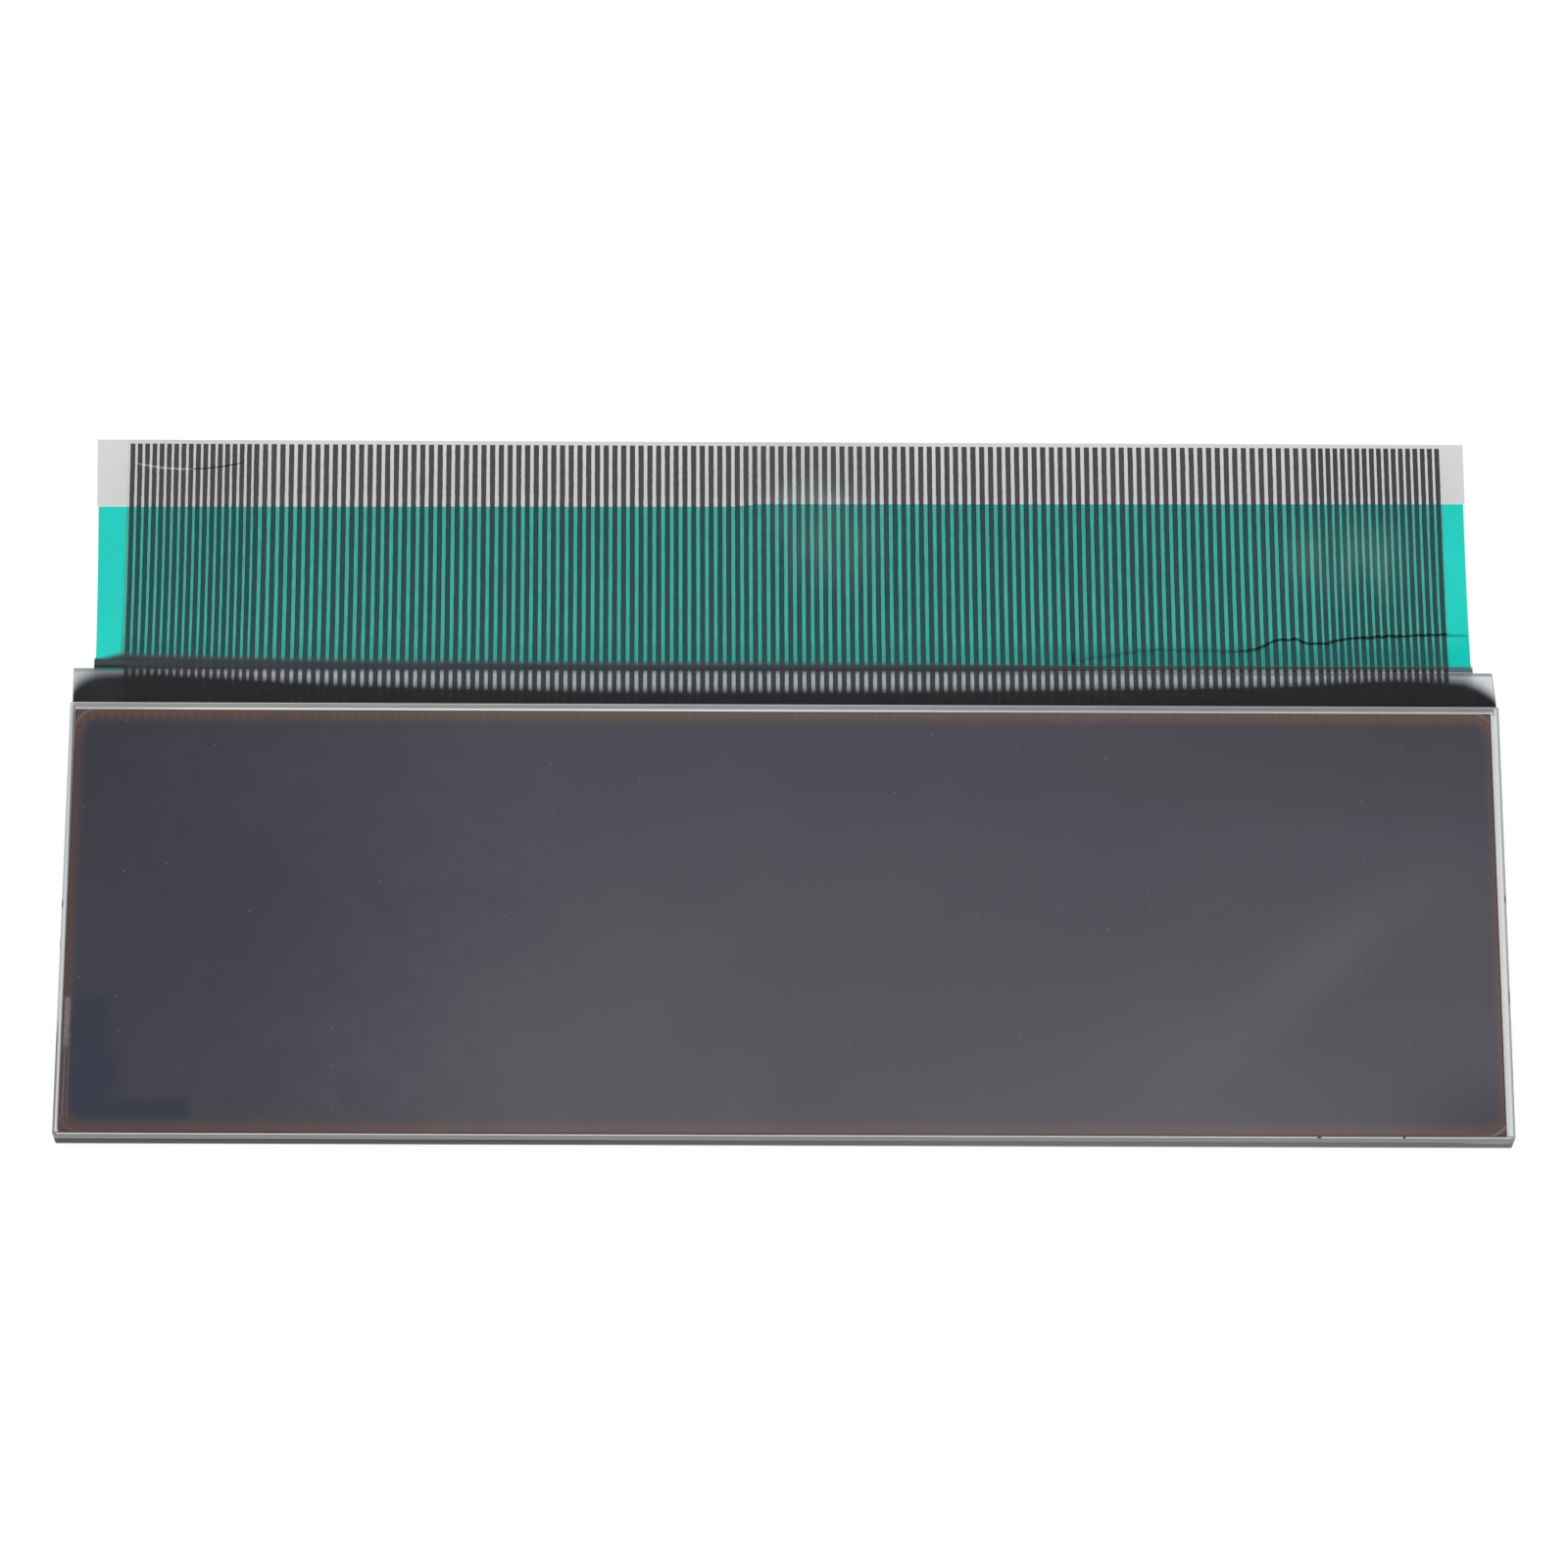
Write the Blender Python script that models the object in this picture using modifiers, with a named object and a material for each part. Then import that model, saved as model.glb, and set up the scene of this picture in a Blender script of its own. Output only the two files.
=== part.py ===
"""A bare liquid crystal cell with a printed heat-seal ribbon on its contact ledge.

Metres. +Z points out of the viewing face, +X runs along the long side, and +Y
runs from the viewing area towards the ribbon. The origin is the middle of the
back of the rear polarizer, under the middle of the front plate.
"""
import math

import bmesh
import bpy
from mathutils import Vector
from mathutils.geometry import interpolate_bezier

# Glass plates
GLASS_WIDTH = 0.0965
FRONT_GLASS_DEPTH = 0.03045
FRONT_GLASS_THICKNESS = 0.0011
REAR_GLASS_THICKNESS = 0.0011
LEDGE_DEPTH = 0.0029
LEDGE_SLANT_WIDTH = 0.00022
LEDGE_SLANT_DEPTH = 0.0023
GLASS_ARRIS = 0.00006

# Polarizing films
FRONT_POLARIZER_THICKNESS = 0.0002
FRONT_POLARIZER_MARGIN_LEFT = 0.0004
FRONT_POLARIZER_MARGIN_RIGHT = 0.0006
FRONT_POLARIZER_MARGIN_FAR = 0.0006
FRONT_POLARIZER_MARGIN_NEAR = 0.0001
REAR_POLARIZER_THICKNESS = 0.0002
REAR_POLARIZER_MARGIN = 0.0005

# Seal ring between the plates, and what it holds
SEAL_THICKNESS = 0.00001
SEAL_WIDTH = 0.00075
SEAL_INSET_SIDE = 0.00042
SEAL_INSET_FAR = 0.0006
SEAL_INSET_NEAR = 0.0001
SEAL_INNER_RADIUS = 0.0008
SEAL_CORNER_SEGMENTS = 6
FILL_PORT_START = 0.0022
FILL_PORT_LENGTH = 0.0072
END_SEAL_SETBACK = 0.00003
TRANSFER_DOT_RADIUS = 0.00022
TRANSFER_DOT_INSET = 0.00048
TRANSFER_DOT_SEGMENTS = 20

# Ribbon film, from its bonded edge on the ledge to its free tail
FILM_THICKNESS = 0.00005
FILM_SETBACK = 0.0003
RIBBON_REACH = 0.01674
FILM_MARGIN_LEFT_ROOT = 0.00192
FILM_MARGIN_LEFT_TAIL = 0.0023
FILM_MARGIN_RIGHT = 0.00166
BEND_OFFSET = 0.00005
ROOT_DROP_ANGLE = math.radians(9.0)
TAIL_RISE_ANGLE = math.radians(3.5)
TAIL_LIFT = 0.00012
RIBBON_STATIONS = 7

# Printed traces, ridges on the underside of the film
OUTER_TRACES = 17
MIDDLE_TRACES = 122
OUTER_PITCH = 0.0005
MIDDLE_PITCH = 0.0006
OUTER_TRACE_WIDTH = 0.00027
MIDDLE_TRACE_WIDTH = 0.00034
TRACE_HEIGHT = 0.00002
TRACE_KEY = 0.00002
TRACE_SETBACK_ROOT = 0.0001
TRACE_SETBACK_TAIL = 0.00026

# Teal coat under the traces, printed slightly askew with one stepped edge
COAT_THICKNESS = 0.00003
COAT_SIDE_MARGIN = 0.0001
COAT_ROOT_GAP_LEFT = 0.00079
COAT_ROOT_GAP_RIGHT = 0.0002
COAT_BARE_TAIL_LEFT = 0.00482
COAT_BARE_TAIL_RIGHT = 0.00426
COAT_STEP = 0.00017
COAT_STEP_PLACE = -0.0034

# Heat-seal adhesive between the traces and the ledge
ADHESIVE_THICKNESS = 0.00002
ADHESIVE_MARGIN = 0.0001

# What is stacked keeps this gap between its faces
SEAT_GAP = 0.000005

# Room that a cutter reaches past what it cuts
CUTTER_REACH = 0.001

# Heights of the stack, from the back upwards
REAR_GLASS_BOTTOM = REAR_POLARIZER_THICKNESS + SEAT_GAP
LEDGE_TOP = REAR_GLASS_BOTTOM + REAR_GLASS_THICKNESS
SEAL_BOTTOM = LEDGE_TOP + SEAT_GAP
SEAL_TOP = SEAL_BOTTOM + SEAL_THICKNESS
FRONT_GLASS_BOTTOM = SEAL_TOP + SEAT_GAP
FRONT_GLASS_TOP = FRONT_GLASS_BOTTOM + FRONT_GLASS_THICKNESS
FRONT_POLARIZER_BOTTOM = FRONT_GLASS_TOP + SEAT_GAP
BOND_ADHESIVE_TOP = LEDGE_TOP + SEAT_GAP + ADHESIVE_THICKNESS
FILM_TOP = BOND_ADHESIVE_TOP + SEAT_GAP + TRACE_HEIGHT + FILM_THICKNESS

# Places along X and Y
GLASS_SIDE = GLASS_WIDTH / 2
FRONT_NEAR = -FRONT_GLASS_DEPTH / 2
FRONT_FAR = FRONT_GLASS_DEPTH / 2
LEDGE_FAR = FRONT_FAR + LEDGE_DEPTH
FILM_ROOT = FRONT_FAR + FILM_SETBACK
FILM_TAIL = LEDGE_FAR + RIBBON_REACH
TRACE_ROOT = FILM_ROOT + TRACE_SETBACK_ROOT
TRACE_TAIL = FILM_TAIL - TRACE_SETBACK_TAIL

# Depths of the ribbon's layers below the film's upper face
UNDER_FILM = FILM_THICKNESS
UNDER_TRACES = UNDER_FILM + TRACE_HEIGHT
COAT_DEPTH = UNDER_TRACES + SEAT_GAP


def clear_scene():
    for thing in list(bpy.data.objects):
        bpy.data.objects.remove(thing, do_unlink=True)


def new_collection(name):
    collection = bpy.data.collections.new(name)
    bpy.context.scene.collection.children.link(collection)
    return collection


def new_material(name, colour, roughness, alpha=1.0, transmission=0.0, ior=1.5):
    material = bpy.data.materials.new(name)
    material.use_nodes = True
    shader = material.node_tree.nodes["Principled BSDF"]
    shader.inputs["Base Color"].default_value = (*colour, 1.0)
    shader.inputs["Roughness"].default_value = roughness
    shader.inputs["Metallic"].default_value = 0.0
    shader.inputs["Alpha"].default_value = alpha
    shader.inputs["Transmission Weight"].default_value = transmission
    shader.inputs["IOR"].default_value = ior
    return material


def finish_mesh(name, mesh, collection, material=None):
    """Turn a bmesh into an object whose faces point outwards."""
    bmesh.ops.recalc_face_normals(mesh, faces=mesh.faces)
    data = bpy.data.meshes.new(name)
    mesh.to_mesh(data)
    mesh.free()
    thing = bpy.data.objects.new(name, data)
    collection.objects.link(thing)
    if material is not None:
        data.materials.append(material)
    return thing


def add_prism(mesh, corners, travel):
    """Close an outline of corners with one face and draw it out along travel."""
    face = mesh.faces.new([mesh.verts.new(corner) for corner in corners])
    drawn = bmesh.ops.extrude_face_region(mesh, geom=[face])
    moved = [item for item in drawn["geom"] if isinstance(item, bmesh.types.BMVert)]
    bmesh.ops.translate(mesh, verts=moved, vec=travel)


def plate(name, outline, bottom, top, collection, material=None):
    """A flat plate with an outline of (x, y) points between two heights."""
    mesh = bmesh.new()
    add_prism(mesh, [(x, y, bottom) for x, y in outline], Vector((0.0, 0.0, top - bottom)))
    return finish_mesh(name, mesh, collection, material)


def rectangle(left, right, near, far):
    return [(left, near), (right, near), (right, far), (left, far)]


def rounded_rectangle(left, right, near, far, radius, segments):
    """The outline of a rectangle whose corners are quarter circles."""
    centres = (
        (right - radius, far - radius),
        (left + radius, far - radius),
        (left + radius, near + radius),
        (right - radius, near + radius),
    )
    outline = []
    for quarter, (x, y) in enumerate(centres):
        for step in range(segments + 1):
            angle = math.pi / 2 * (quarter + step / segments)
            outline.append((x + radius * math.cos(angle), y + radius * math.sin(angle)))
    return outline


def hide_cutter(cutter):
    cutter.display_type = "WIRE"
    cutter.hide_render = True


def combine(thing, tool, operation):
    """Cut, trim or join a thing with another solid."""
    hide_cutter(tool)
    modifier = thing.modifiers.new(tool.name, "BOOLEAN")
    modifier.operation = operation
    modifier.solver = "EXACT"
    modifier.material_mode = "TRANSFER"
    modifier.object = tool


def ease_edges(thing, width):
    """Take the sharp arris off the edges of a glass plate."""
    bevel = thing.modifiers.new("arris", "BEVEL")
    bevel.width = width
    bevel.segments = 1
    bevel.limit_method = "ANGLE"
    bevel.angle_limit = math.radians(30.0)


def build_rear_polarizer(parts):
    grey = new_material("polarizer_rear", (0.03, 0.03, 0.035), 0.35)
    outline = rectangle(
        -GLASS_SIDE + REAR_POLARIZER_MARGIN,
        GLASS_SIDE - REAR_POLARIZER_MARGIN,
        FRONT_NEAR + REAR_POLARIZER_MARGIN,
        FRONT_FAR - REAR_POLARIZER_MARGIN,
    )
    plate("rear_polarizer", outline, 0.0, REAR_POLARIZER_THICKNESS, parts, grey)


def build_rear_glass(parts, clear):
    """The rear plate is deeper by the ledge, and its far right corner is aslant."""
    outline = [
        (-GLASS_SIDE, FRONT_NEAR),
        (GLASS_SIDE, FRONT_NEAR),
        (GLASS_SIDE, LEDGE_FAR - LEDGE_SLANT_DEPTH),
        (GLASS_SIDE - LEDGE_SLANT_WIDTH, LEDGE_FAR),
        (-GLASS_SIDE, LEDGE_FAR),
    ]
    glass = plate("rear_glass", outline, REAR_GLASS_BOTTOM, LEDGE_TOP, parts, clear)
    ease_edges(glass, GLASS_ARRIS)


def build_front_glass(parts, clear):
    outline = rectangle(-GLASS_SIDE, GLASS_SIDE, FRONT_NEAR, FRONT_FAR)
    glass = plate("front_glass", outline, FRONT_GLASS_BOTTOM, FRONT_GLASS_TOP, parts, clear)
    ease_edges(glass, GLASS_ARRIS)


def seal_outline(offset):
    """The seal ring's outline, offset inwards from its outer edge."""
    return rounded_rectangle(
        -GLASS_SIDE + SEAL_INSET_SIDE + offset,
        GLASS_SIDE - SEAL_INSET_SIDE - offset,
        FRONT_NEAR + SEAL_INSET_NEAR + offset,
        FRONT_FAR - SEAL_INSET_FAR - offset,
        SEAL_INNER_RADIUS + SEAL_WIDTH - offset,
        SEAL_CORNER_SEGMENTS,
    )


def build_perimeter_seal(parts, cutters):
    """A ring with rounded corners that is open at the fill port on the left."""
    brown = new_material("seal", (0.12, 0.075, 0.06), 0.5)
    ring = plate("perimeter_seal", seal_outline(0.0), SEAL_BOTTOM, SEAL_TOP, parts, brown)
    low = SEAL_BOTTOM - CUTTER_REACH
    high = SEAL_TOP + CUTTER_REACH
    well = plate("cutter_seal_well", seal_outline(SEAL_WIDTH), low, high, cutters)
    port_near = FRONT_NEAR + FILL_PORT_START
    port = rectangle(
        -GLASS_SIDE - CUTTER_REACH,
        -GLASS_SIDE + SEAL_INSET_SIDE + SEAL_WIDTH + SEAL_INNER_RADIUS / 2,
        port_near,
        port_near + FILL_PORT_LENGTH,
    )
    gate = plate("cutter_fill_port", port, low, high, cutters)
    combine(ring, well, "DIFFERENCE")
    combine(ring, gate, "DIFFERENCE")


def build_end_seal(parts):
    """The resin plug that closes the fill port, out to the edge of the glass."""
    resin = new_material("end_seal", (0.42, 0.34, 0.34), 0.4)
    port_near = FRONT_NEAR + FILL_PORT_START
    outline = rectangle(
        -GLASS_SIDE + END_SEAL_SETBACK,
        -GLASS_SIDE + SEAL_INSET_SIDE + SEAL_WIDTH,
        port_near + SEAT_GAP,
        port_near + FILL_PORT_LENGTH - SEAT_GAP,
    )
    plate("end_seal", outline, SEAL_BOTTOM, SEAL_TOP, parts, resin)


def build_liquid_crystal(parts):
    fluid = new_material("liquid_crystal", (0.09, 0.09, 0.1), 0.2)
    outline = seal_outline(SEAL_WIDTH + SEAT_GAP)
    plate("liquid_crystal", outline, SEAL_BOTTOM, SEAL_TOP, parts, fluid)


def build_transfer_dots(parts):
    """Conductive dots outside the seal's two far corners, between the plates."""
    silver = new_material("transfer_dot", (0.5, 0.5, 0.5), 0.4)
    for name, side in (("transfer_dot_left", -1), ("transfer_dot_right", 1)):
        mesh = bmesh.new()
        bmesh.ops.create_cone(
            mesh,
            cap_ends=True,
            segments=TRANSFER_DOT_SEGMENTS,
            radius1=TRANSFER_DOT_RADIUS,
            radius2=TRANSFER_DOT_RADIUS,
            depth=SEAL_THICKNESS,
        )
        dot = finish_mesh(name, mesh, parts, silver)
        dot.location = (
            side * (GLASS_SIDE - TRANSFER_DOT_INSET),
            FRONT_FAR - TRANSFER_DOT_INSET,
            (SEAL_BOTTOM + SEAL_TOP) / 2,
        )


def build_front_polarizer(parts):
    grey = new_material("polarizer_front", (0.055, 0.055, 0.065), 0.3)
    outline = rectangle(
        -GLASS_SIDE + FRONT_POLARIZER_MARGIN_LEFT,
        GLASS_SIDE - FRONT_POLARIZER_MARGIN_RIGHT,
        FRONT_NEAR + FRONT_POLARIZER_MARGIN_NEAR,
        FRONT_FAR - FRONT_POLARIZER_MARGIN_FAR,
    )
    top = FRONT_POLARIZER_BOTTOM + FRONT_POLARIZER_THICKNESS
    plate("front_polarizer", outline, FRONT_POLARIZER_BOTTOM, top, parts, grey)


def ribbon_path():
    """Points of the film's upper face in the YZ plane.

    The film lies flat on the ledge, then leaves it on one smooth curve that
    dips below the ledge and rises again to the free tail.
    """
    bend = Vector((0.0, LEDGE_FAR + BEND_OFFSET, FILM_TOP))
    tail = Vector((0.0, FILM_TAIL, FILM_TOP + TAIL_LIFT))
    pull = (tail.y - bend.y) / 3
    leaving = bend + pull * Vector((0.0, 1.0, -math.tan(ROOT_DROP_ANGLE)))
    arriving = tail - pull * Vector((0.0, 1.0, math.tan(TAIL_RISE_ANGLE)))
    curve = interpolate_bezier(bend, leaving, arriving, tail, RIBBON_STATIONS)
    return [Vector((0.0, FILM_ROOT, FILM_TOP))] + list(curve)


def sunk_path(path, depth):
    """The path moved below the film's upper face, square to the film."""
    sunk = []
    last = len(path) - 1
    for index, point in enumerate(path):
        along = path[min(index + 1, last)] - path[max(index - 1, 0)]
        if 0 < index < last:
            before = (point - path[index - 1]).normalized()
            after = (path[index + 1] - point).normalized()
            along = before + after
        square = Vector((0.0, -along.z, along.y)).normalized()
        sunk.append(point - depth * square)
    return sunk


def height_on(path, y):
    """Height of the path at a place along Y, following its straight pieces."""
    for before, after in zip(path, path[1:]):
        if y <= after.y:
            break
    share = (y - before.y) / (after.y - before.y)
    return before.z + share * (after.z - before.z)


def path_between(path, near, far):
    """The stretch of the path from one place along Y to another."""
    inner = [point for point in path if near < point.y < far]
    first = Vector((0.0, near, height_on(path, near)))
    final = Vector((0.0, far, height_on(path, far)))
    return [first] + inner + [final]


def layer_side(near, far, depth, thickness):
    """Side view of a ribbon layer, as one closed loop of points."""
    path = ribbon_path()
    upper = path_between(sunk_path(path, depth), near, far)
    lower = path_between(sunk_path(path, depth + thickness), near, far)
    return upper + lower[::-1]


def add_layer(mesh, side, left, right):
    """Draw the side view of a ribbon layer across the ribbon."""
    start = Vector((left, 0.0, 0.0))
    add_prism(mesh, [start + point for point in side], Vector((right - left, 0.0, 0.0)))


def trace_places():
    """Centre and width of each trace, fine ones outside and wide ones between."""
    counts = (OUTER_TRACES, MIDDLE_TRACES, OUTER_TRACES)
    pitches = (OUTER_PITCH, MIDDLE_PITCH, OUTER_PITCH)
    widths = (OUTER_TRACE_WIDTH, MIDDLE_TRACE_WIDTH, OUTER_TRACE_WIDTH)
    span = 2 * OUTER_TRACES * OUTER_PITCH + (MIDDLE_TRACES - 1) * MIDDLE_PITCH
    places = []
    x = -span / 2
    for group, (count, pitch, width) in enumerate(zip(counts, pitches, widths)):
        for index in range(count):
            places.append((x, width))
            leaves_middle = group == 1 and index == count - 1
            x += OUTER_PITCH if leaves_middle else pitch
    return places


def film_edges():
    """Places of the film's left edge at root and tail, and of its right edge."""
    places = trace_places()
    first, first_width = places[0]
    final, final_width = places[-1]
    left_root = first - first_width / 2 - FILM_MARGIN_LEFT_ROOT
    left_tail = first - first_width / 2 - FILM_MARGIN_LEFT_TAIL
    right = final + final_width / 2 + FILM_MARGIN_RIGHT
    return left_root, left_tail, right


def build_ribbon_film(parts, cutters):
    """The clear film, wider towards its tail, with the black traces under it."""
    clear = new_material("ribbon_film", (0.75, 0.75, 0.76), 0.25, alpha=0.3)
    carbon = new_material("carbon_trace", (0.03, 0.03, 0.035), 0.6)
    left_root, left_tail, right = film_edges()

    film_mesh = bmesh.new()
    side = layer_side(FILM_ROOT, FILM_TAIL, 0.0, FILM_THICKNESS)
    add_layer(film_mesh, side, left_tail - CUTTER_REACH, right)
    film = finish_mesh("ribbon_film", film_mesh, parts, clear)

    trim = [
        (left_tail - 2 * CUTTER_REACH, FILM_ROOT - CUTTER_REACH),
        (left_root, FILM_ROOT - CUTTER_REACH),
        (left_root, FILM_ROOT),
        (left_tail, FILM_TAIL),
        (left_tail, FILM_TAIL + CUTTER_REACH),
        (left_tail - 2 * CUTTER_REACH, FILM_TAIL + CUTTER_REACH),
    ]
    low = FILM_TOP - 2 * CUTTER_REACH
    high = FILM_TOP + 2 * CUTTER_REACH
    combine(film, plate("cutter_film_edge", trim, low, high, cutters), "DIFFERENCE")

    trace_mesh = bmesh.new()
    root_depth = UNDER_FILM - TRACE_KEY
    side = layer_side(TRACE_ROOT, TRACE_TAIL, root_depth, TRACE_KEY + TRACE_HEIGHT)
    for x, width in trace_places():
        add_layer(trace_mesh, side, x - width / 2, x + width / 2)
    combine(film, finish_mesh("tool_traces", trace_mesh, cutters, carbon), "UNION")


def build_cover_coat(parts, cutters):
    """The teal coat, drawn across the ribbon and trimmed to its skewed outline."""
    teal = new_material("cover_coat", (0.03, 0.60, 0.50), 0.45)
    left_root, left_tail, film_right = film_edges()
    left = left_root + COAT_SIDE_MARGIN
    left_far = left_tail + COAT_SIDE_MARGIN
    right = film_right - COAT_SIDE_MARGIN
    tail_left = FILM_TAIL - COAT_BARE_TAIL_LEFT
    tail_right = FILM_TAIL - COAT_BARE_TAIL_RIGHT
    rise = (tail_right - tail_left - COAT_STEP) / (right - left)
    step_low = tail_left + rise * (COAT_STEP_PLACE - left)
    near = LEDGE_FAR + min(COAT_ROOT_GAP_LEFT, COAT_ROOT_GAP_RIGHT)
    far = max(tail_left, tail_right)

    mesh = bmesh.new()
    side = layer_side(near, far, COAT_DEPTH, COAT_THICKNESS)
    add_layer(mesh, side, left_far - CUTTER_REACH, right + CUTTER_REACH)
    coat = finish_mesh("cover_coat", mesh, parts, teal)

    outline = [
        (left, LEDGE_FAR + COAT_ROOT_GAP_LEFT),
        (right, LEDGE_FAR + COAT_ROOT_GAP_RIGHT),
        (right, tail_right),
        (COAT_STEP_PLACE, step_low + COAT_STEP),
        (COAT_STEP_PLACE, step_low),
        (left_far, tail_left),
    ]
    low = FILM_TOP - 2 * CUTTER_REACH
    high = FILM_TOP + 2 * CUTTER_REACH
    combine(coat, plate("cutter_coat_outline", outline, low, high, cutters), "INTERSECT")


def build_bond_adhesive(parts):
    """The strip of adhesive that holds the ribbon on the ledge."""
    haze = new_material("adhesive", (0.62, 0.62, 0.63), 0.6, alpha=0.6)
    left_root, _, film_right = film_edges()
    outline = rectangle(
        left_root + ADHESIVE_MARGIN,
        film_right - ADHESIVE_MARGIN,
        FILM_ROOT + ADHESIVE_MARGIN,
        LEDGE_FAR - GLASS_ARRIS - ADHESIVE_MARGIN,
    )
    plate("bond_adhesive", outline, LEDGE_TOP + SEAT_GAP, BOND_ADHESIVE_TOP, parts, haze)


def main():
    clear_scene()
    parts = new_collection("lcd_screen")
    cutters = new_collection("cutters")
    clear = new_material("glass", (0.9, 0.93, 0.93), 0.02, transmission=1.0, ior=1.52)
    build_rear_polarizer(parts)
    build_rear_glass(parts, clear)
    build_perimeter_seal(parts, cutters)
    build_end_seal(parts)
    build_liquid_crystal(parts)
    build_transfer_dots(parts)
    build_front_glass(parts, clear)
    build_front_polarizer(parts)
    build_bond_adhesive(parts)
    build_ribbon_film(parts, cutters)
    build_cover_coat(parts, cutters)


main()
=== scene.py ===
import math

import bpy
import numpy as np
from bpy.props import FloatProperty, FloatVectorProperty, IntProperty, PointerProperty
from mathutils import Matrix, Vector


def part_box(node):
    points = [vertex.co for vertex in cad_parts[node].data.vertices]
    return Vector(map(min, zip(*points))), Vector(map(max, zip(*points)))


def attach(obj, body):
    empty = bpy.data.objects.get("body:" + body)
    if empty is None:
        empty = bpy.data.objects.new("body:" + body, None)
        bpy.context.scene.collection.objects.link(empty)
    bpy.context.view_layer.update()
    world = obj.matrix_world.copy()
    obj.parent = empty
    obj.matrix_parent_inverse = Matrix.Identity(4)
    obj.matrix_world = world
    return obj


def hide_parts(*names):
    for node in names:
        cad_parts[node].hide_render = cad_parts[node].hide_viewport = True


bl_info = {
    "name": "Liquid Crystal Cell with Ribbon",
    "version": (1, 0, 0),
    "blender": (4, 5, 0),
    "location": "3D View > Sidebar > LCD Cell",
    "description": "Dresses a bare liquid crystal cell and its heat-seal ribbon",
    "category": "Add Mesh",
}

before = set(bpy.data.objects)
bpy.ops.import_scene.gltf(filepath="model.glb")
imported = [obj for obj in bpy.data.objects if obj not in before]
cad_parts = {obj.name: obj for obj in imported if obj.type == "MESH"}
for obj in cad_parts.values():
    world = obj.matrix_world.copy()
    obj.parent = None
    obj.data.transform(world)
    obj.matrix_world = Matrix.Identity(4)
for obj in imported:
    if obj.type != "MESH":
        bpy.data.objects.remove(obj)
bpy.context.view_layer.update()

# Materials work in millimetres, meshes in metres
PER_METRE = 1000.0

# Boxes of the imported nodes, lowest and highest corner
REAR_LOW, REAR_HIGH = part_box("rear_glass")
FRONT_LOW, FRONT_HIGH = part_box("front_glass")
SCREEN_LOW, SCREEN_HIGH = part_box("front_polarizer")
SEAL_LOW, SEAL_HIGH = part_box("perimeter_seal")
FILM_LOW, FILM_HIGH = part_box("ribbon_film")
COAT_LOW, COAT_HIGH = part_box("cover_coat")
PLUG_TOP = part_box("end_seal")[1].y

# In millimetres: far edge of the ledge and of the front plate, and pitch of the ticks on the seal
LEDGE_EDGE = REAR_HIGH.y * PER_METRE
PLATE_EDGE = FRONT_HIGH.y * PER_METRE
TICK_PITCH = 0.6

ORIGIN = (0.0, 0.0, 0.0)
WHITE = (1.0, 1.0, 1.0)


def shade(red, green, blue):
    """A display colour of 0 to 255 a channel as linear light: the usual two-part sRGB curve."""
    channels = []
    for value in (red, green, blue):
        share = value / 255.0
        low = share / 12.92
        high = ((share + 0.055) / 1.055) ** 2.4
        channels.append(low if share <= 0.04045 else high)
    return tuple(channels)


# Property helpers

def length(name, description, default):
    return FloatProperty(name=name, description=description, default=default, unit="LENGTH", precision=5)


def angle(name, description, degrees):
    return FloatProperty(name=name, description=description, default=math.radians(degrees), subtype="ANGLE")


def factor(name, description, default):
    return FloatProperty(
        name=name, description=description, default=default, min=0.0, max=1.0, subtype="FACTOR"
    )


def count(name, description, default, low):
    return IntProperty(name=name, description=description, default=default, min=low)


def colour(name, thing, *default):
    return FloatVectorProperty(
        name=name, description="Colour of " + thing, default=default, size=3, min=0.0, max=1.0,
        subtype="COLOR",
    )


def display(name, thing, red, green, blue):
    """A colour given as it shows on a display, 0 to 255 a channel."""
    return colour(name, thing, *shade(red, green, blue))


class RibbonShape(bpy.types.PropertyGroup):
    """How the film runs from its bonded edge to its free tail."""

    thickness: length("Film thickness", "Thickness of the clear film", 0.00005)
    bend_offset: length("Bend offset", "How far past the ledge the film starts to drop", 0.00005)
    tail_lift: length("Tail lift", "How much higher the tail lies than the bonded part", 0.00012)
    root_skew: length("Root skew", "How much further in the left edge starts at the ledge", 0.00044)
    lean: length("Lean", "How much further right the ribbon's root lies than its tail", 0.00014)
    drop_angle: angle("Drop angle", "Slope at which the film leaves the ledge", 9.0)
    rise_angle: angle("Rise angle", "Slope at which the film reaches its tail", 3.5)
    ripple: length("Ripple", "Height of the slow waves in the film", 0.000012)
    ripple_length: length("Ripple length", "Spacing of the slow waves", 0.0115)
    columns: count("Columns", "Grid points across the film", 300, 8)
    rows: count("Rows", "Grid points along the film", 90, 8)


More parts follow.
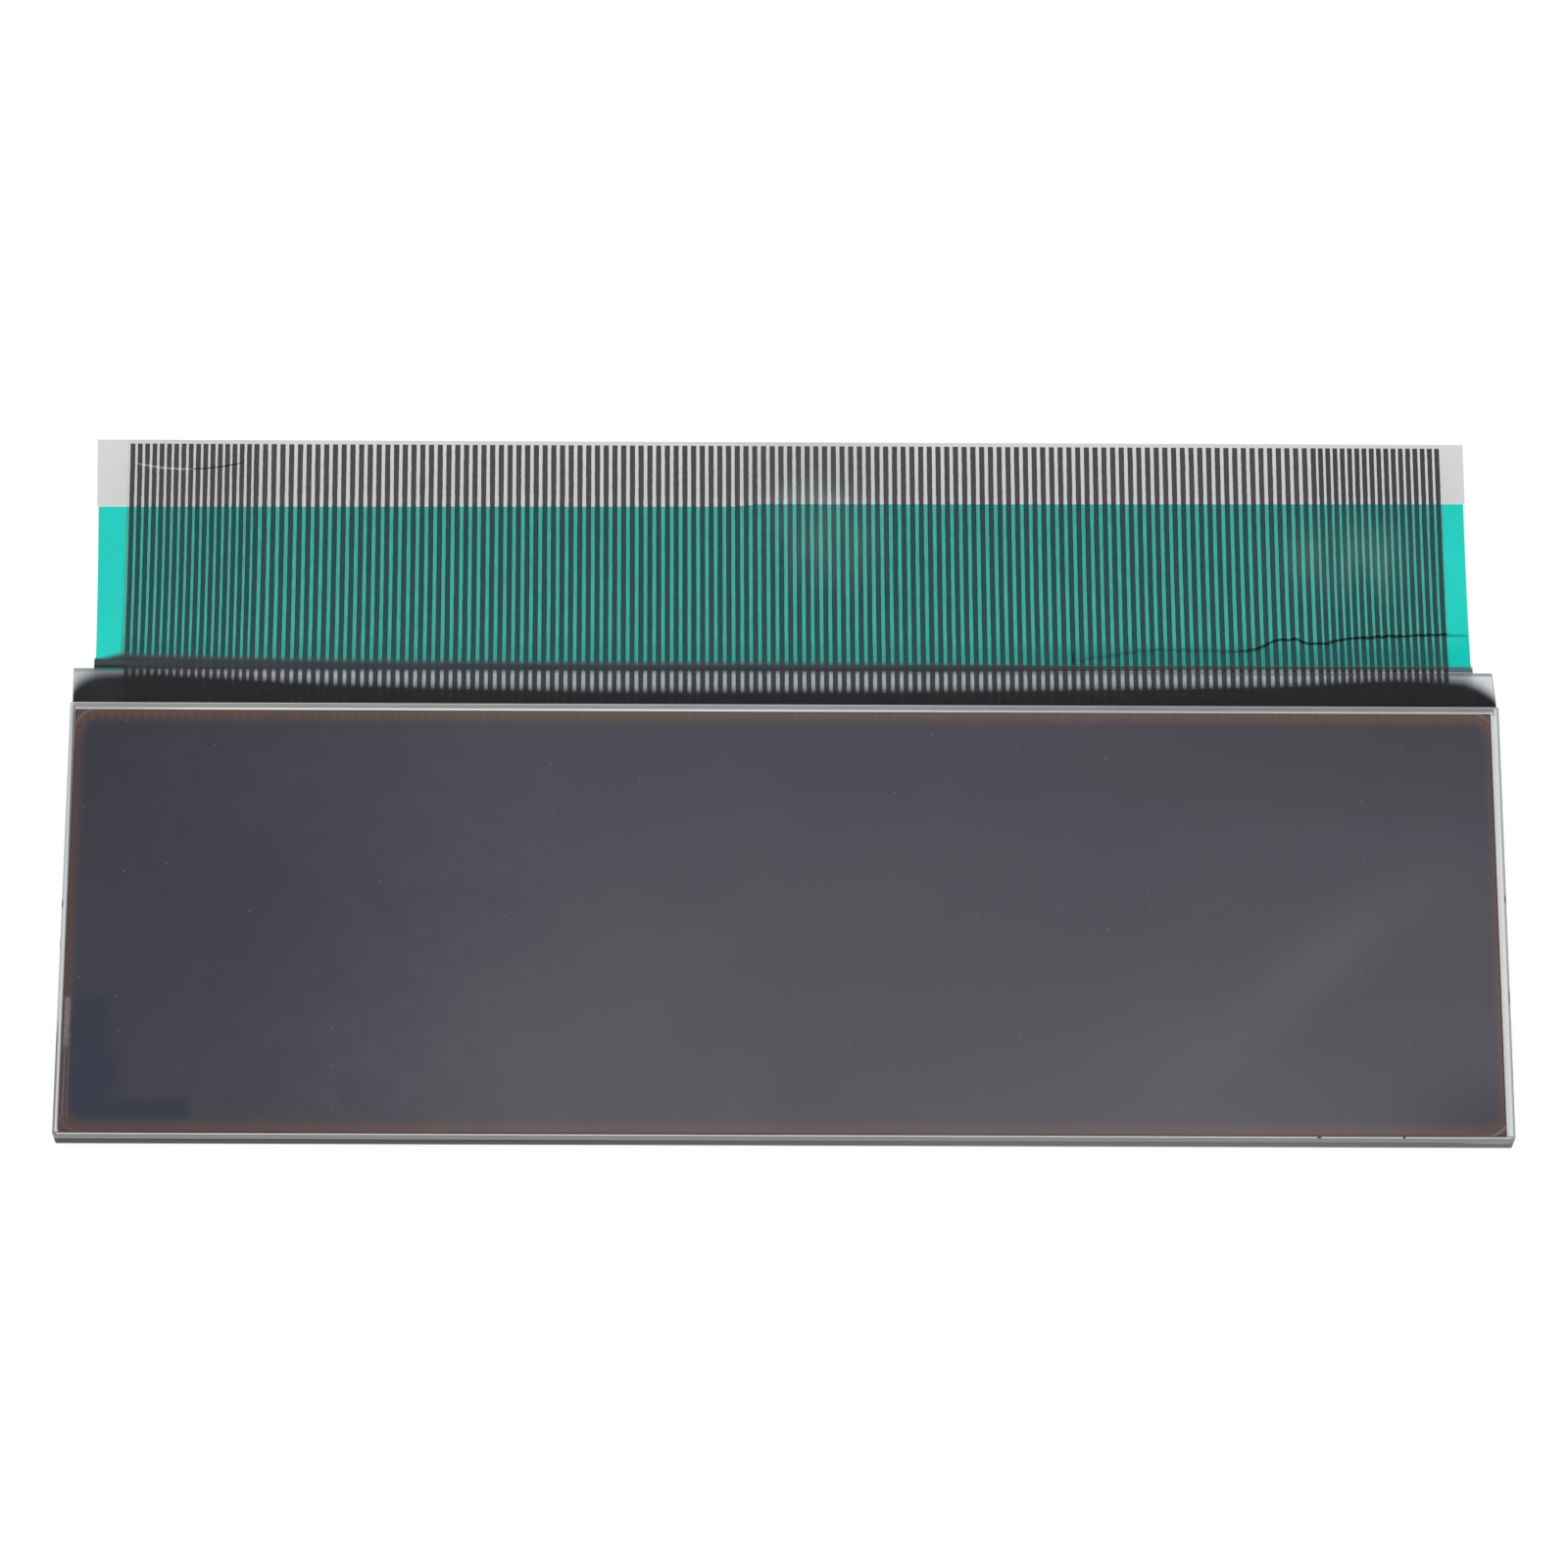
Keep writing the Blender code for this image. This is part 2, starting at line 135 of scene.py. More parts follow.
class FilmFinish(bpy.types.PropertyGroup):
    """The clear film, hazy where adhesive backs it, with painted shadow by the ledge, painted highlights
    and painted shade in its creases.
    """

    haze: display("Haze", "the veil where adhesive backs the film", 101, 99, 103)
    # Window colours are painted shadow: the shade under the ribbon beside the ledge's far edge, seen
    # through the clear film
    window: display("Window", "the strip between coat and ledge", 41, 50, 55)
    window_left: display("Window left", "that strip on the left margin", 40, 61, 65)
    window_end: display("Window end", "that strip on the right margin", 74, 105, 113)
    # Painted highlight: the pale patches where the glossy film reflects the light
    fog: display("Fog", "the worn, foggy patches", 188, 212, 210)
    # Painted shadow: the dark line where the film leaves the ledge's edge at the far left
    seam: display("Seam", "the dark line where the strip starts at the far left", 4, 34, 34)
    # Painted shade along the creases; the fine crease is lighter at its left part
    crease: display("Crease", "the wavy crease and its nick", 4, 26, 26)
    fine_crease: display("Fine crease", "the fine crease at the tail", 34, 33, 38)
    fine_crease_light: display("Fine crease light", "that crease's light left part", 196, 194, 199)
    clear_cover: factor("Clear cover", "How much clear film hides", 0.04)
    haze_cover: factor("Haze cover", "How much hazy film hides", 0.415)
    haze_cover_left: factor("Haze cover left", "How much hazy film hides at the left end", 0.475)
    print_cover: factor("Print cover", "How much the film hides between the traces", 0.05)
    ledge_cover: factor("Ledge haze cover", "How much the film hides on the lit ledge", 0.12)
    # The painted shadow in that strip hides most of what lies under it
    window_cover: factor("Window cover", "How much the strip at the ledge hides", 0.99)
    window_cover_right: factor("Window cover right", "How much it hides between the right traces", 0.8)
    roughness: factor("Roughness", "Roughness of the film's surface", 0.22)


class TraceShape(bpy.types.PropertyGroup):
    """The printed carbon traces, fine at both sides and wide between."""

    outer_count: count("Outer traces", "Fine traces at each side", 17, 1)
    middle_count: count("Middle traces", "Wide traces between", 122, 1)
    outer_pitch: length("Outer pitch", "Spacing of the fine traces", 0.0005)
    middle_pitch: length("Middle pitch", "Spacing of the wide traces", 0.0006)
    outer_width: length("Outer width", "Width of a fine trace", 0.00031)
    middle_width: length("Middle width", "Width of a wide trace", 0.00034)
    height: length("Height", "Thickness of the ink", 0.000014)
    gap: length("Gap", "Room between film and ink", 0.000003)
    root_setback: length("Root setback", "How far the ink starts from the bonded edge", 0.0001)
    tail_setback: length("Tail setback", "How far the ink stops short of the tail", 0.00026)
    tail_spread: length("Tail spread", "How much wider a trace is printed on the bare tail", 0.000022)
    raggedness: length("Raggedness", "How far a printed edge strays", 0.000014)
    stations: count("Stations", "Sections along each trace", 96, 8)
    seed: count("Seed", "Seed of the printed edges' random stray", 41, 0)
    ink: display("Ink", "the carbon ink", 60, 58, 65)
    fine_ink: display("Fine ink", "the ink in the fine traces at both sides", 36, 34, 41)
    pressed_ink: display("Pressed ink", "the ink bonded to the ledge", 54, 58, 64)
    coated_ink: display("Coated ink", "the ink where the teal coat backs it", 27, 73, 77)
    # Coated ink's edge: the ink is darker towards a trace's sides where the coat backs it
    coated_edge: display("Coated ink's edge", "the thinner ink at a trace's sides there", 12, 58, 60)
    worn_ink: display("Worn ink", "the ink where it is thin", 84, 83, 90)
    # Painted shade on the ink under the wavy crease
    creased_ink: display("Creased ink", "the ink under the wavy crease", 4, 14, 16)


class CoatShape(bpy.types.PropertyGroup):
    """The teal coat under the traces, printed slightly askew."""

    columns: count("Columns", "Grid points across the coat", 260, 8)
    rows: count("Rows", "Grid points along the coat", 48, 8)
    thickness: length("Thickness", "Thickness of the coat", 0.00003)
    side_margin: length("Side margin", "Bare film beside the coat", 0.0001)
    root_gap_left: length("Root gap left", "Clear window at the left end", 0.00065)
    root_gap_right: length("Root gap right", "Clear window at the right end", 0.00025)
    root_bend: FloatProperty(
        name="Root bend", description="Power of the curve that the near edge follows", default=6.0
    )
    bare_tail_left: length("Bare tail left", "Bare film past the coat at the left end", 0.00482)
    bare_tail_right: length("Bare tail right", "Bare film past the coat at the right end", 0.00426)
    step: length("Step", "Step in the coat's far edge", 0.00017)
    step_place: length("Step place", "Where the step is along X", -0.0028)
    step_run: length("Step run", "Length over which the edge steps", 0.0024)
    # These two set only how softly the film's painted shadow strip fades out over the coat's near edge
    fade: length("Fade", "Length over which the coat thins out in the left half", 0.0007)
    shadow_fade_right: length("Fade right", "Length over which it thins out in the right half", 0.0004)
    teal: colour("Teal", "the coat on the clear margins", 0.016, 0.66, 0.565)
    printed_teal: colour("Printed teal", "the coat between the traces", 0.06, 0.46, 0.375)
    deep_teal: colour("Deep teal", "the coat on the right margin near the ledge", 0.0, 0.585, 0.50)
    deep_print: colour("Deep print", "the coat between the traces near the ledge", 0.02, 0.35, 0.285)


class GlassFinish(bpy.types.PropertyGroup):
    """The two plates and the shade on the contact ledge."""

    margin_light: display("Margin light", "the plate's clear rim", 228, 231, 231)
    margin_grey: display("Margin grey", "the rim's outer line at the left", 192, 195, 196)
    outer_grey: display("Outer grey", "the rim's outer line at the right", 164, 167, 168)
    far_grey: display("Far grey", "the rim beside the contact ledge", 150, 150, 153)
    # Far light is partly painted light: the rim's real light line, made paler to outweigh the shade that
    # the polarizer's wall casts on it
    far_light: display("Far light", "the light line on that rim", 250, 248, 250)
    far_dull: display("Far dull", "that line at both ends", 203, 202, 204)
    far_grey_right: display("Far grey right", "that rim at the right", 136, 136, 139)
    far_arris_right: display("Far arris right", "its ground arris at the right", 212, 210, 211)
    inner_grey: display("Inner grey", "the left rim beside the polarizer", 132, 131, 134)
    side: display("Side", "the front plate's cut sides", 150, 151, 151)
    side_line: display("Side line", "the light line between the plates", 168, 169, 170)
    rear_side: display("Rear side", "the rear plate's cut sides at the left", 36, 36, 38)
    rear_side_right: display("Rear side right", "those sides at the right and behind", 112, 112, 114)
    arris: display("Arris", "the ground arrises", 240, 237, 238)
    ledge_light: display("Ledge light", "the ledge where light comes through", 146, 157, 164)
    # Ledge edge is painted shade on the ledge's ground edge under the ribbon; the corner edge beside it
    # stays light
    ledge_edge: display("Ledge edge", "the ledge's ground edge under the ribbon", 66, 71, 75)
    corner_edge: display("Corner edge", "that edge beside the ribbon", 156, 158, 161)
    # Painted shade: the dark of the ledge and of its traces beside the front plate
    ledge_dark: display("Ledge dark", "the ledge beside the front plate", 36, 36, 39)
    ledge_ink: display("Ledge ink", "the traces beside the front plate", 29, 29, 32)
    grime: display("Grime", "the specks on the ledge", 110, 112, 114)
    # Painted reflection of the teal coat in the ledge's far left edge
    teal_reflection: display("Teal line", "the coat seen through the ledge's far left edge", 78, 150, 144)
    chip: display("Chip", "the chips on the front plate's rim", 96, 97, 98)
    ledge_cover: factor("Ledge cover", "How much the lit ledge hides under the ribbon", 0.7)
    ledge_cover_left: factor("Ledge cover left", "How much the lit ledge hides at its left corner", 0.74)
    ledge_cover_right: factor("Ledge cover right", "How much the lit ledge hides at its right corner", 0.5)
    rim_cover: factor("Rim cover", "How much the clear rim hides", 0.95)


class ScreenFinish(bpy.types.PropertyGroup):
    """The front polarizer, the painted reflections on it and what shows through it."""

    # Grey, pale and dusk are painted reflection on the polarizer, palest at the near right and dimmer at
    # the far right; indigo shows at the left, where the painted reflection is weakest; dusk also colours
    # the dots
    grey: display("Grey", "the screen's middle", 68, 66, 75)
    indigo: display("Indigo", "the darker left side", 46, 45, 58)
    pale: display("Pale", "the lightest part", 94, 92, 99)
    dusk: display("Dusk", "the far right part", 60, 59, 65)
    # Navy colours an L-shaped patch at the near left corner
    navy: display("Navy", "the stained corner", 42, 45, 63)
    seal_red: factor("Seal red", "Red that the seal adds where it shows through the film", 0.042)
    seal_green: factor("Seal green", "Green that the seal adds there", 0.011)
    seal_blue: factor("Seal blue", "Blue that the seal takes away there", 0.008)
    resin: display("Resin", "the end seal seen through the film", 122, 113, 116)
    dust: display("Dust", "the fine dust", 150, 148, 152)
    ticks: display("Ticks", "the electrode ticks on the seal's far side", 120, 106, 98)
    corner_line: display("Corner line", "the light line round the seal's corners", 140, 122, 120)
    rim: display("Rim", "the polarizer's cut rim", 24, 22, 24)
    roughness: factor("Roughness", "Roughness of the polarizer", 0.16)


class CoreFinish(bpy.types.PropertyGroup):
    """What lies between the plates and behind them."""

    seal: colour("Seal ring", "the cured seal", 0.13, 0.085, 0.07)
    resin: colour("Fill port resin", "the resin plug", 0.42, 0.34, 0.34)
    fluid: colour("Fluid", "the liquid crystal layer", 0.09, 0.09, 0.1)
    silver: colour("Silver paste", "the transfer dots", 0.5, 0.5, 0.5)
    rear_film: colour("Rear film", "the rear polarizer", 0.03, 0.03, 0.036)
    adhesive: colour("Adhesive", "the bond under the ribbon", 0.3, 0.3, 0.31)
    adhesive_cover: factor("Adhesive cover", "How much the adhesive hides", 0.08)


class StageSettings(bpy.types.PropertyGroup):
    """Floor, light and camera."""

    floor_half: length("Floor half width", "Half the width of the floor", 4.0)
    floor_gap: length("Floor gap", "Room between floor and part", 0.00002)
    lens: FloatProperty(name="Lens", description="Focal length", default=147.04, subtype="DISTANCE_CAMERA")
    elevation: angle("Elevation", "Camera height above the horizon", 69.8156)
    azimuth: angle("Azimuth", "Camera turn about the vertical", -1.0026)
    roll: angle("Roll", "Camera turn about its own axis", 1.1522)
    distance: length("Distance", "Camera distance from its target", 0.43308)
    target: FloatVectorProperty(
        name="Target", description="Point that the camera looks at", size=3,
        default=(-0.00004, 0.010316, 0.000205), subtype="XYZ", unit="LENGTH", precision=6,
    )
    sky_level: factor("Sky level", "Light from the sky on dull surfaces", 0.65)
    lamp_power: FloatProperty(
        name="Lamp power", description="Power that the lamps have shares of", default=2.0, unit="POWER"
    )
    lamp_distance: length("Lamp distance", "Distance of each lamp from the part", 0.9)
    lamp_width: length("Lamp width", "Width of each square lamp", 0.5)


# Meshes

SHARP_ANGLE = math.radians(40.0)

# Length past the bend at the ledge where the film's rows are close together, in metres
BEND_RUN = 0.004

# The film's two slow waves: how far and how fast the first sways, how fast and slanted the second is
SWAY = 1.3
SWAY_TURN = 0.37
CROSS_TURN = 0.61
CROSS_SLANT = 0.4

# Printed edges: stations from one knot of the slow drift to the next, and the shares of grain and drift
KNOT_SPACING = 8
GRAIN_SHARE = 0.6
DRIFT_SHARE = 0.5


def grid_faces(index):
    """Corner numbers of a grid's quads, counterclockwise with columns along +X and rows along +Y."""
    return np.stack([index[:-1, :-1], index[:-1, 1:], index[1:, 1:], index[1:, :-1]], -1).reshape(-1, 4)


def make_mesh(name, points, faces, smooth=False):
    """A mesh object at the origin whose place is in its points, smooth up to the sharp angle or flat."""
    mesh = bpy.data.meshes.new(name)
    mesh.from_pydata(points.reshape(-1, 3).tolist(), [], faces.reshape(-1, faces.shape[-1]).tolist())
    mesh.validate()
    if smooth:
        mesh.shade_smooth()
        mesh.set_sharp_from_angle(angle=SHARP_ANGLE)
    thing = bpy.data.objects.new(name, mesh)
    bpy.context.scene.collection.objects.link(thing)
    return thing


def slab(name, x, y, top, thickness):
    """A closed sheet.

    The upper face is the grid (x, y, top), the lower face is the same grid lower by the
    thickness, and a wall of quads joins the two along the rim.
    """
    upper = np.stack([x, y, top], -1)
    lower = upper - np.array([0.0, 0.0, thickness])
    index = np.arange(x.size).reshape(x.shape)
    rim = np.concatenate([index[0, :-1], index[:-1, -1], index[-1, :0:-1], index[:0:-1, 0]])
    ahead = np.roll(rim, -1)
    wall = np.stack([rim + x.size, ahead + x.size, ahead, rim], -1)
    faces = np.concatenate([grid_faces(index), grid_faces(index)[:, ::-1] + x.size, wall])
    return make_mesh(name, np.stack([upper, lower]), faces, smooth=True)


def bezier_height(share, start, leaving, arriving, end):
    """The cubic Bezier through four heights, at a share of 0 to 1 of its run."""
    rest = 1.0 - share
    return (
        rest**3 * start + 3 * rest**2 * share * leaving + 3 * rest * share**2 * arriving + share**3 * end
    )


def ribbon_height(x, y):
    """Height of the film's upper face over the place (x, y).

    The film is level on the ledge. Past it the height is a cubic Bezier in y that leaves
    on the drop angle and arrives on the rise angle. Two crossing sine waves are added,
    which grow from nothing at the ledge.
    """
    shape = bpy.context.scene.lcd_ribbon
    level = FILM_HIGH.z - shape.tail_lift
    bend = REAR_HIGH.y + shape.bend_offset
    reach = FILM_HIGH.y - bend
    share = np.clip((y - bend) / reach, 0.0, 1.0)
    leaving = level - reach / 3 * math.tan(shape.drop_angle)
    arriving = FILM_HIGH.z - reach / 3 * math.tan(shape.rise_angle)
    curve = bezier_height(share, level, leaving, arriving, FILM_HIGH.z)
    turn = 2 * math.pi / shape.ripple_length
    swaying = np.sin(turn * x + SWAY * np.sin(turn * SWAY_TURN * y))
    crossing = np.sin(turn * CROSS_TURN * (y + CROSS_SLANT * x))
    return curve + shape.ripple * (swaying * crossing) * np.sin(math.pi * share)


def root_share(y):
    """1 at the ribbon's root, falling in a straight line to 0 at its tail."""
    return (FILM_HIGH.y - y) / (FILM_HIGH.y - FILM_LOW.y)


def film_left_edge(y):
    """The film's left edge, a straight line that runs outwards from root to tail."""
    return FILM_LOW.x + bpy.context.scene.lcd_ribbon.root_skew * root_share(y)


def lean_shift(y):
    """How far the print and the film's right edge are moved to the right, most at the root."""
    return bpy.context.scene.lcd_ribbon.lean * root_share(y)


def film_rows():
    """Places along the film, close together on the bend at the ledge and wider apart past it."""
    shape = bpy.context.scene.lcd_ribbon
    bend = REAR_HIGH.y + shape.bend_offset
    past_bend = bend + BEND_RUN
    first = shape.rows // 6
    second = shape.rows // 3
    on_ledge = np.linspace(FILM_LOW.y, bend, first, endpoint=False)
    near_bend = np.linspace(bend, past_bend, second, endpoint=False)
    beyond = np.linspace(past_bend, FILM_HIGH.y, shape.rows - first - second)
    return np.concatenate([on_ledge, near_bend, beyond])


def film_grid():
    """Grid of the film: straight rows across, drawn between its left and right edge."""
    shape = bpy.context.scene.lcd_ribbon
    rows = film_rows()
    share = np.linspace(0.0, 1.0, shape.columns)
    left = film_left_edge(rows)[:, None]
    right = (FILM_HIGH.x + lean_shift(rows))[:, None]
    x = left + (right - left) * share[None, :]
    y = np.repeat(rows[:, None], shape.columns, axis=1)
    return x, y


def trace_places():
    """Centre and width of each trace as two arrays: running sums of the pitches, centred on x = 0."""
    trace = bpy.context.scene.lcd_traces
    outer = np.full(trace.outer_count, trace.outer_pitch)
    middle = np.full(trace.middle_count - 1, trace.middle_pitch)
    steps = np.concatenate([outer, middle, outer])
    centres = np.concatenate([[0.0], np.cumsum(steps)])
    widths = np.full(centres.size, trace.middle_width)
    widths[: trace.outer_count] = trace.outer_width
    widths[-trace.outer_count:] = trace.outer_width
    return centres - centres[-1] / 2, widths


def wander(random, copies, stations):
    """How far each printed edge strays, as a share of the raggedness.

    It is fine grain plus a slower drift, which runs in straight lines between random knots.
    """
    grain = random.uniform(-1.0, 1.0, (copies, stations))
    knots = random.uniform(-1.0, 1.0, (copies, stations // KNOT_SPACING + 2))
    before_last = knots.shape[1] - 1.001
    place = np.linspace(0.0, before_last, stations)
    whole = place.astype(int)
    share = place - whole
    drift = knots[:, whole] * (1.0 - share) + knots[:, whole + 1] * share
    return GRAIN_SHARE * grain + DRIFT_SHARE * drift


def trace_points():
    """Corners of every trace's sections, as an array of trace, station, corner and axis.

    Each section has four corners. The sides are the centre line plus or minus half the
    width, moved by the stray of the printed edge, and the heights follow the film. On the
    bare tail the width grows by the spread within one pitch.
    """
    trace = bpy.context.scene.lcd_traces
    random = np.random.default_rng(trace.seed)
    centres, widths = trace_places()
    along = np.linspace(
        FILM_LOW.y + trace.root_setback, FILM_HIGH.y - trace.tail_setback, trace.stations
    )
    bare = FILM_HIGH.y - bpy.context.scene.lcd_coat.bare_tail_right
    spread = trace.tail_spread * np.clip((along - bare) / trace.middle_pitch, 0.0, 1.0)
    half = (widths[:, None] + spread) / 2
    middle = centres[:, None] + lean_shift(along)
    left = middle - half + trace.raggedness * wander(random, centres.size, trace.stations)
    right = middle + half + trace.raggedness * wander(random, centres.size, trace.stations)
    y = np.broadcast_to(along, left.shape)
    drop = bpy.context.scene.lcd_ribbon.thickness + trace.gap
    corners = []
    for x, low in ((left, 0.0), (right, 0.0), (right, trace.height), (left, trace.height)):
        corners.append(np.stack([x, y, ribbon_height(x, y) - drop - low], -1))
    return np.stack(corners, 2)


def trace_faces(copies, stations):
    """Quads of closed four-sided bars: four walls between stations and a cap at each end."""
    index = np.arange(copies * stations * 4).reshape(copies, stations, 4)
    ahead = np.roll(index, -1, axis=2)
    walls = np.stack([index[:, :-1], ahead[:, :-1], ahead[:, 1:], index[:, 1:]], -1)
    root = index[:, 0, ::-1]
    tail = index[:, -1, :]
    return np.concatenate([walls.reshape(-1, 4), root, tail])


def coat_edges(x):
    """Near and far edge of the coat at a place along x.

    The near edge is a level line that curves up at the left end, as a power of the share
    that is left. The far edge is a straight line with a soft step, the smooth cubic
    3 t^2 - 2 t^3, where t goes from 0 to 1 over the step's run.
    """
    coat = bpy.context.scene.lcd_coat
    share = (x - COAT_LOW.x) / (COAT_HIGH.x - COAT_LOW.x)
    bend = (coat.root_gap_left - coat.root_gap_right) * (1.0 - share) ** coat.root_bend
    near = REAR_HIGH.y + coat.root_gap_right + bend
    rise = coat.bare_tail_left - coat.bare_tail_right - coat.step
    run = np.clip((x - coat.step_place) / coat.step_run + 0.5, 0.0, 1.0)
    far = FILM_HIGH.y - coat.bare_tail_left + rise * share + coat.step * (3 * run**2 - 2 * run**3)
    return near, far


def coat_grid():
    """Grid of the coat, drawn between its near and far edge and trimmed beside the film's left edge."""
    coat = bpy.context.scene.lcd_coat
    across = np.linspace(COAT_LOW.x, COAT_HIGH.x, coat.columns)
    near, far = coat_edges(across)
    share = np.linspace(0.0, 1.0, coat.rows)[:, None]
    y = near + (far - near) * share
    trim = film_left_edge(y) + coat.side_margin
    return np.maximum(across[None, :] + lean_shift(y), trim), y


# Node trees

def math_method(operation, turned=False):
    """A method that adds a math node, with the value itself as its last input where it is turned."""

    def method(self, *others):
        values = (*others, self) if turned else (self, *others)
        return self.graph.math(operation, *values)

    return method


class Value:
    """A number, point or colour in a node tree. Sums on it add math nodes to that tree."""

    def __init__(self, graph, socket):
        self.graph = graph
        self.socket = socket

    __add__ = math_method("ADD")
    __sub__ = math_method("SUBTRACT")
    __rsub__ = math_method("SUBTRACT", turned=True)
    __mul__ = math_method("MULTIPLY")
    __pow__ = math_method("POWER")
    __abs__ = math_method("ABSOLUTE")

    # The greater of itself and another
    most = math_method("MAXIMUM")

    # Itself times a slope, plus a start
    linear = math_method("MULTIPLY_ADD")

    def ramp(self, low, high):
        """Rises smoothly from 0 at low to 1 at high, or falls where low is the greater."""
        inputs = {"Value": self, "From Min": low, "From Max": high}
        return self.graph.value("ShaderNodeMapRange", inputs, interpolation_type="SMOOTHSTEP")

    def line(self, start, end, first, last):
        """A straight line through (start, first) and (end, last), held level outside them."""
        inputs = {"Value": self, "From Min": start, "From Max": end, "To Min": first, "To Max": last}
        return self.graph.value("ShaderNodeMapRange", inputs)

    def between(self, low, high, soft):
        """1 between low and high, with smooth flanks."""
        node = self.graph.math
        rise = self.ramp(node("SUBTRACT", low, soft), node("ADD", low, soft))
        fall = self.ramp(node("ADD", high, soft), node("SUBTRACT", high, soft))
        return rise * fall

    def mix(self, first, second):
        """Goes from the first colour to the second as this goes from 0 to 1."""
        return self.graph.value("ShaderNodeMix", {0: self, 6: first, 7: second}, output=2, data_type="RGBA")

    def blend(self, first, second):
        """Goes from the first number to the second as this goes from 0 to 1."""
        return self.graph.value("ShaderNodeMix", {0: self, 2: first, 3: second}, data_type="FLOAT")

    def curve(self, points):
        """A smooth curve through given points, each from 0 to 1 both ways."""
        node = self.graph.add("ShaderNodeFloatCurve", {"Value": self})
        line = node.mapping.curves[0]
        line.points[0].location = points[0]
        line.points[1].location = points[-1]
        for point in points[1:-1]:
            line.points.new(*point)
        node.mapping.update()
        return Value(self.graph, node.outputs[0])


def paint(tone, *coats):
    """Lays colours over a tone in order, each given after the share of it that shows."""
    for share, over in coats:
        tone = share.mix(tone, over)
    return tone


def scaled(tone, share):
    """A colour made lighter or darker, with no channel above 1."""
    return [min(1.0, share * channel) for channel in tone]


class Graph:
    """Adds nodes to one tree. An input is either a value to join or a constant to set."""

    def __init__(self, tree):
        self.tree = tree

    def join(self, socket, value):
        if isinstance(value, Value):
            self.tree.links.new(value.socket, socket)
        elif socket.type == "RGBA":
            socket.default_value = (*tuple(value)[:3], 1.0)
        else:
            socket.default_value = value

    def add(self, kind, inputs=None, **settings):
        """A new node; inputs go by name or number."""
        node = self.tree.nodes.new(kind)
        for name, value in settings.items():
            setattr(node, name, value)
        for name, value in (inputs or {}).items():
            self.join(node.inputs[name], value)
        return node

    def value(self, kind, inputs=None, output=0, **settings):
        """One output of a new node."""
        return Value(self, self.add(kind, inputs, **settings).outputs[output])

    def math(self, operation, *values):
        return self.value("ShaderNodeMath", dict(enumerate(values)), operation=operation)

    def vector(self, operation, *values):
        return self.value("ShaderNodeVectorMath", dict(enumerate(values)), operation=operation)

    def parts(self, vector):
        """X, Y and Z of a vector."""
        split = self.add("ShaderNodeSeparateXYZ", {"Vector": vector})
        return [Value(self, socket) for socket in split.outputs]

    def place(self):
        """Keeps the point on the object in millimetres, also as its X, Y and Z."""
        metres = self.value("ShaderNodeTexCoord", output="Object")
        inputs = {0: metres, "Scale": PER_METRE}
        self.position = self.value("ShaderNodeVectorMath", inputs, operation="SCALE")
        self.x, self.y, self.z = self.parts(self.position)

    def noise(self, scale, detail=2.0, roughness=0.5, stretch=None, point=None):
        """Noise at the kept point or another. A small number in stretch draws it out on that axis."""
        point = point or self.position
        if stretch:
            point = self.vector("MULTIPLY", point, stretch)
        inputs = {"Vector": point, "Scale": scale, "Detail": detail, "Roughness": roughness}
        return self.value("ShaderNodeTexNoise", inputs)

    def group(self, name, **inputs):
        """Places a shared group at the kept point; an input's words are joined by underscores here."""
        node = self.add("ShaderNodeGroup", node_tree=bpy.data.node_groups[name])
        if "Position" in node.inputs:
            inputs.setdefault("position", self.position)
        for key, value in inputs.items():
            self.join(node.inputs[key.replace("_", " ").capitalize()], value)
        return Value(self, node.outputs[0])

    def spot(self, x, y, half_width, half_height):
        """A soft oval patch about the place (x, y)."""
        return self.group("soft_spot", centre=(x, y, 0.0), radii=(half_width, half_height, 1.0))

    def panel(self, low, high, radius):
        """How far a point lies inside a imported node's box, whose corners are rounded by the radius."""
        centre = (low + high) / 2 * PER_METRE
        half = (high - low) / 2 * PER_METRE
        return self.group("panel_edge", centre=tuple(centre), half_size=tuple(half), radius=radius)


# Shared groups

def ledge_shade(graph, position, shift, softness):
    """Shade on the contact ledge: 0 where light comes through, 1 beside the front plate.

    Its edge runs along the ledge on a curve, nearer the front plate in the middle, and
    bends round at both ends.
    """
    edge_points = [
        (0.0, 0.46), (0.0108, 0.80), (0.0176, 0.88), (0.0314, 0.92), (0.055, 0.88), (0.0864, 0.82),
        (0.114, 0.77), (0.155, 0.69), (0.224, 0.60), (0.293, 0.55), (0.362, 0.507), (0.50, 0.51),
        (0.637, 0.55), (0.706, 0.583), (0.775, 0.63), (0.844, 0.68), (0.878, 0.74), (0.913, 0.81),
        (0.9475, 0.85), (0.970, 0.85), (0.982, 0.75), (0.990, 0.63), (1.0, 0.36),
    ]
    edge_scale = 3.0
    x, y, _ = graph.parts(position)
    share = x.line(REAR_LOW.x * PER_METRE, REAR_HIGH.x * PER_METRE, 0.0, 1.0)
    edge = share.curve(edge_points) * edge_scale
    past = (y - PLATE_EDGE) - (edge + shift)
    return past.ramp(softness, softness * -1.0)


def panel_edge(graph, position, centre, half_size, radius):
    """How far a point lies inside a rectangle with rounded corners, in millimetres.

    The distance is the usual one to a rounded box: the point is folded into one quarter,
    the half size less the radius is taken off, and what sticks out is measured.
    """
    folded = graph.vector("ABSOLUTE", graph.vector("SUBTRACT", position, centre))
    x, y, _ = graph.parts(graph.vector("SUBTRACT", folded, half_size))
    across = x + radius
    along = y + radius
    outside = graph.math("SQRT", across.most(0.0) ** 2.0 + along.most(0.0) ** 2.0)
    inside = graph.math("MINIMUM", across.most(along), 0.0)
    return (outside + inside - radius) * -1.0


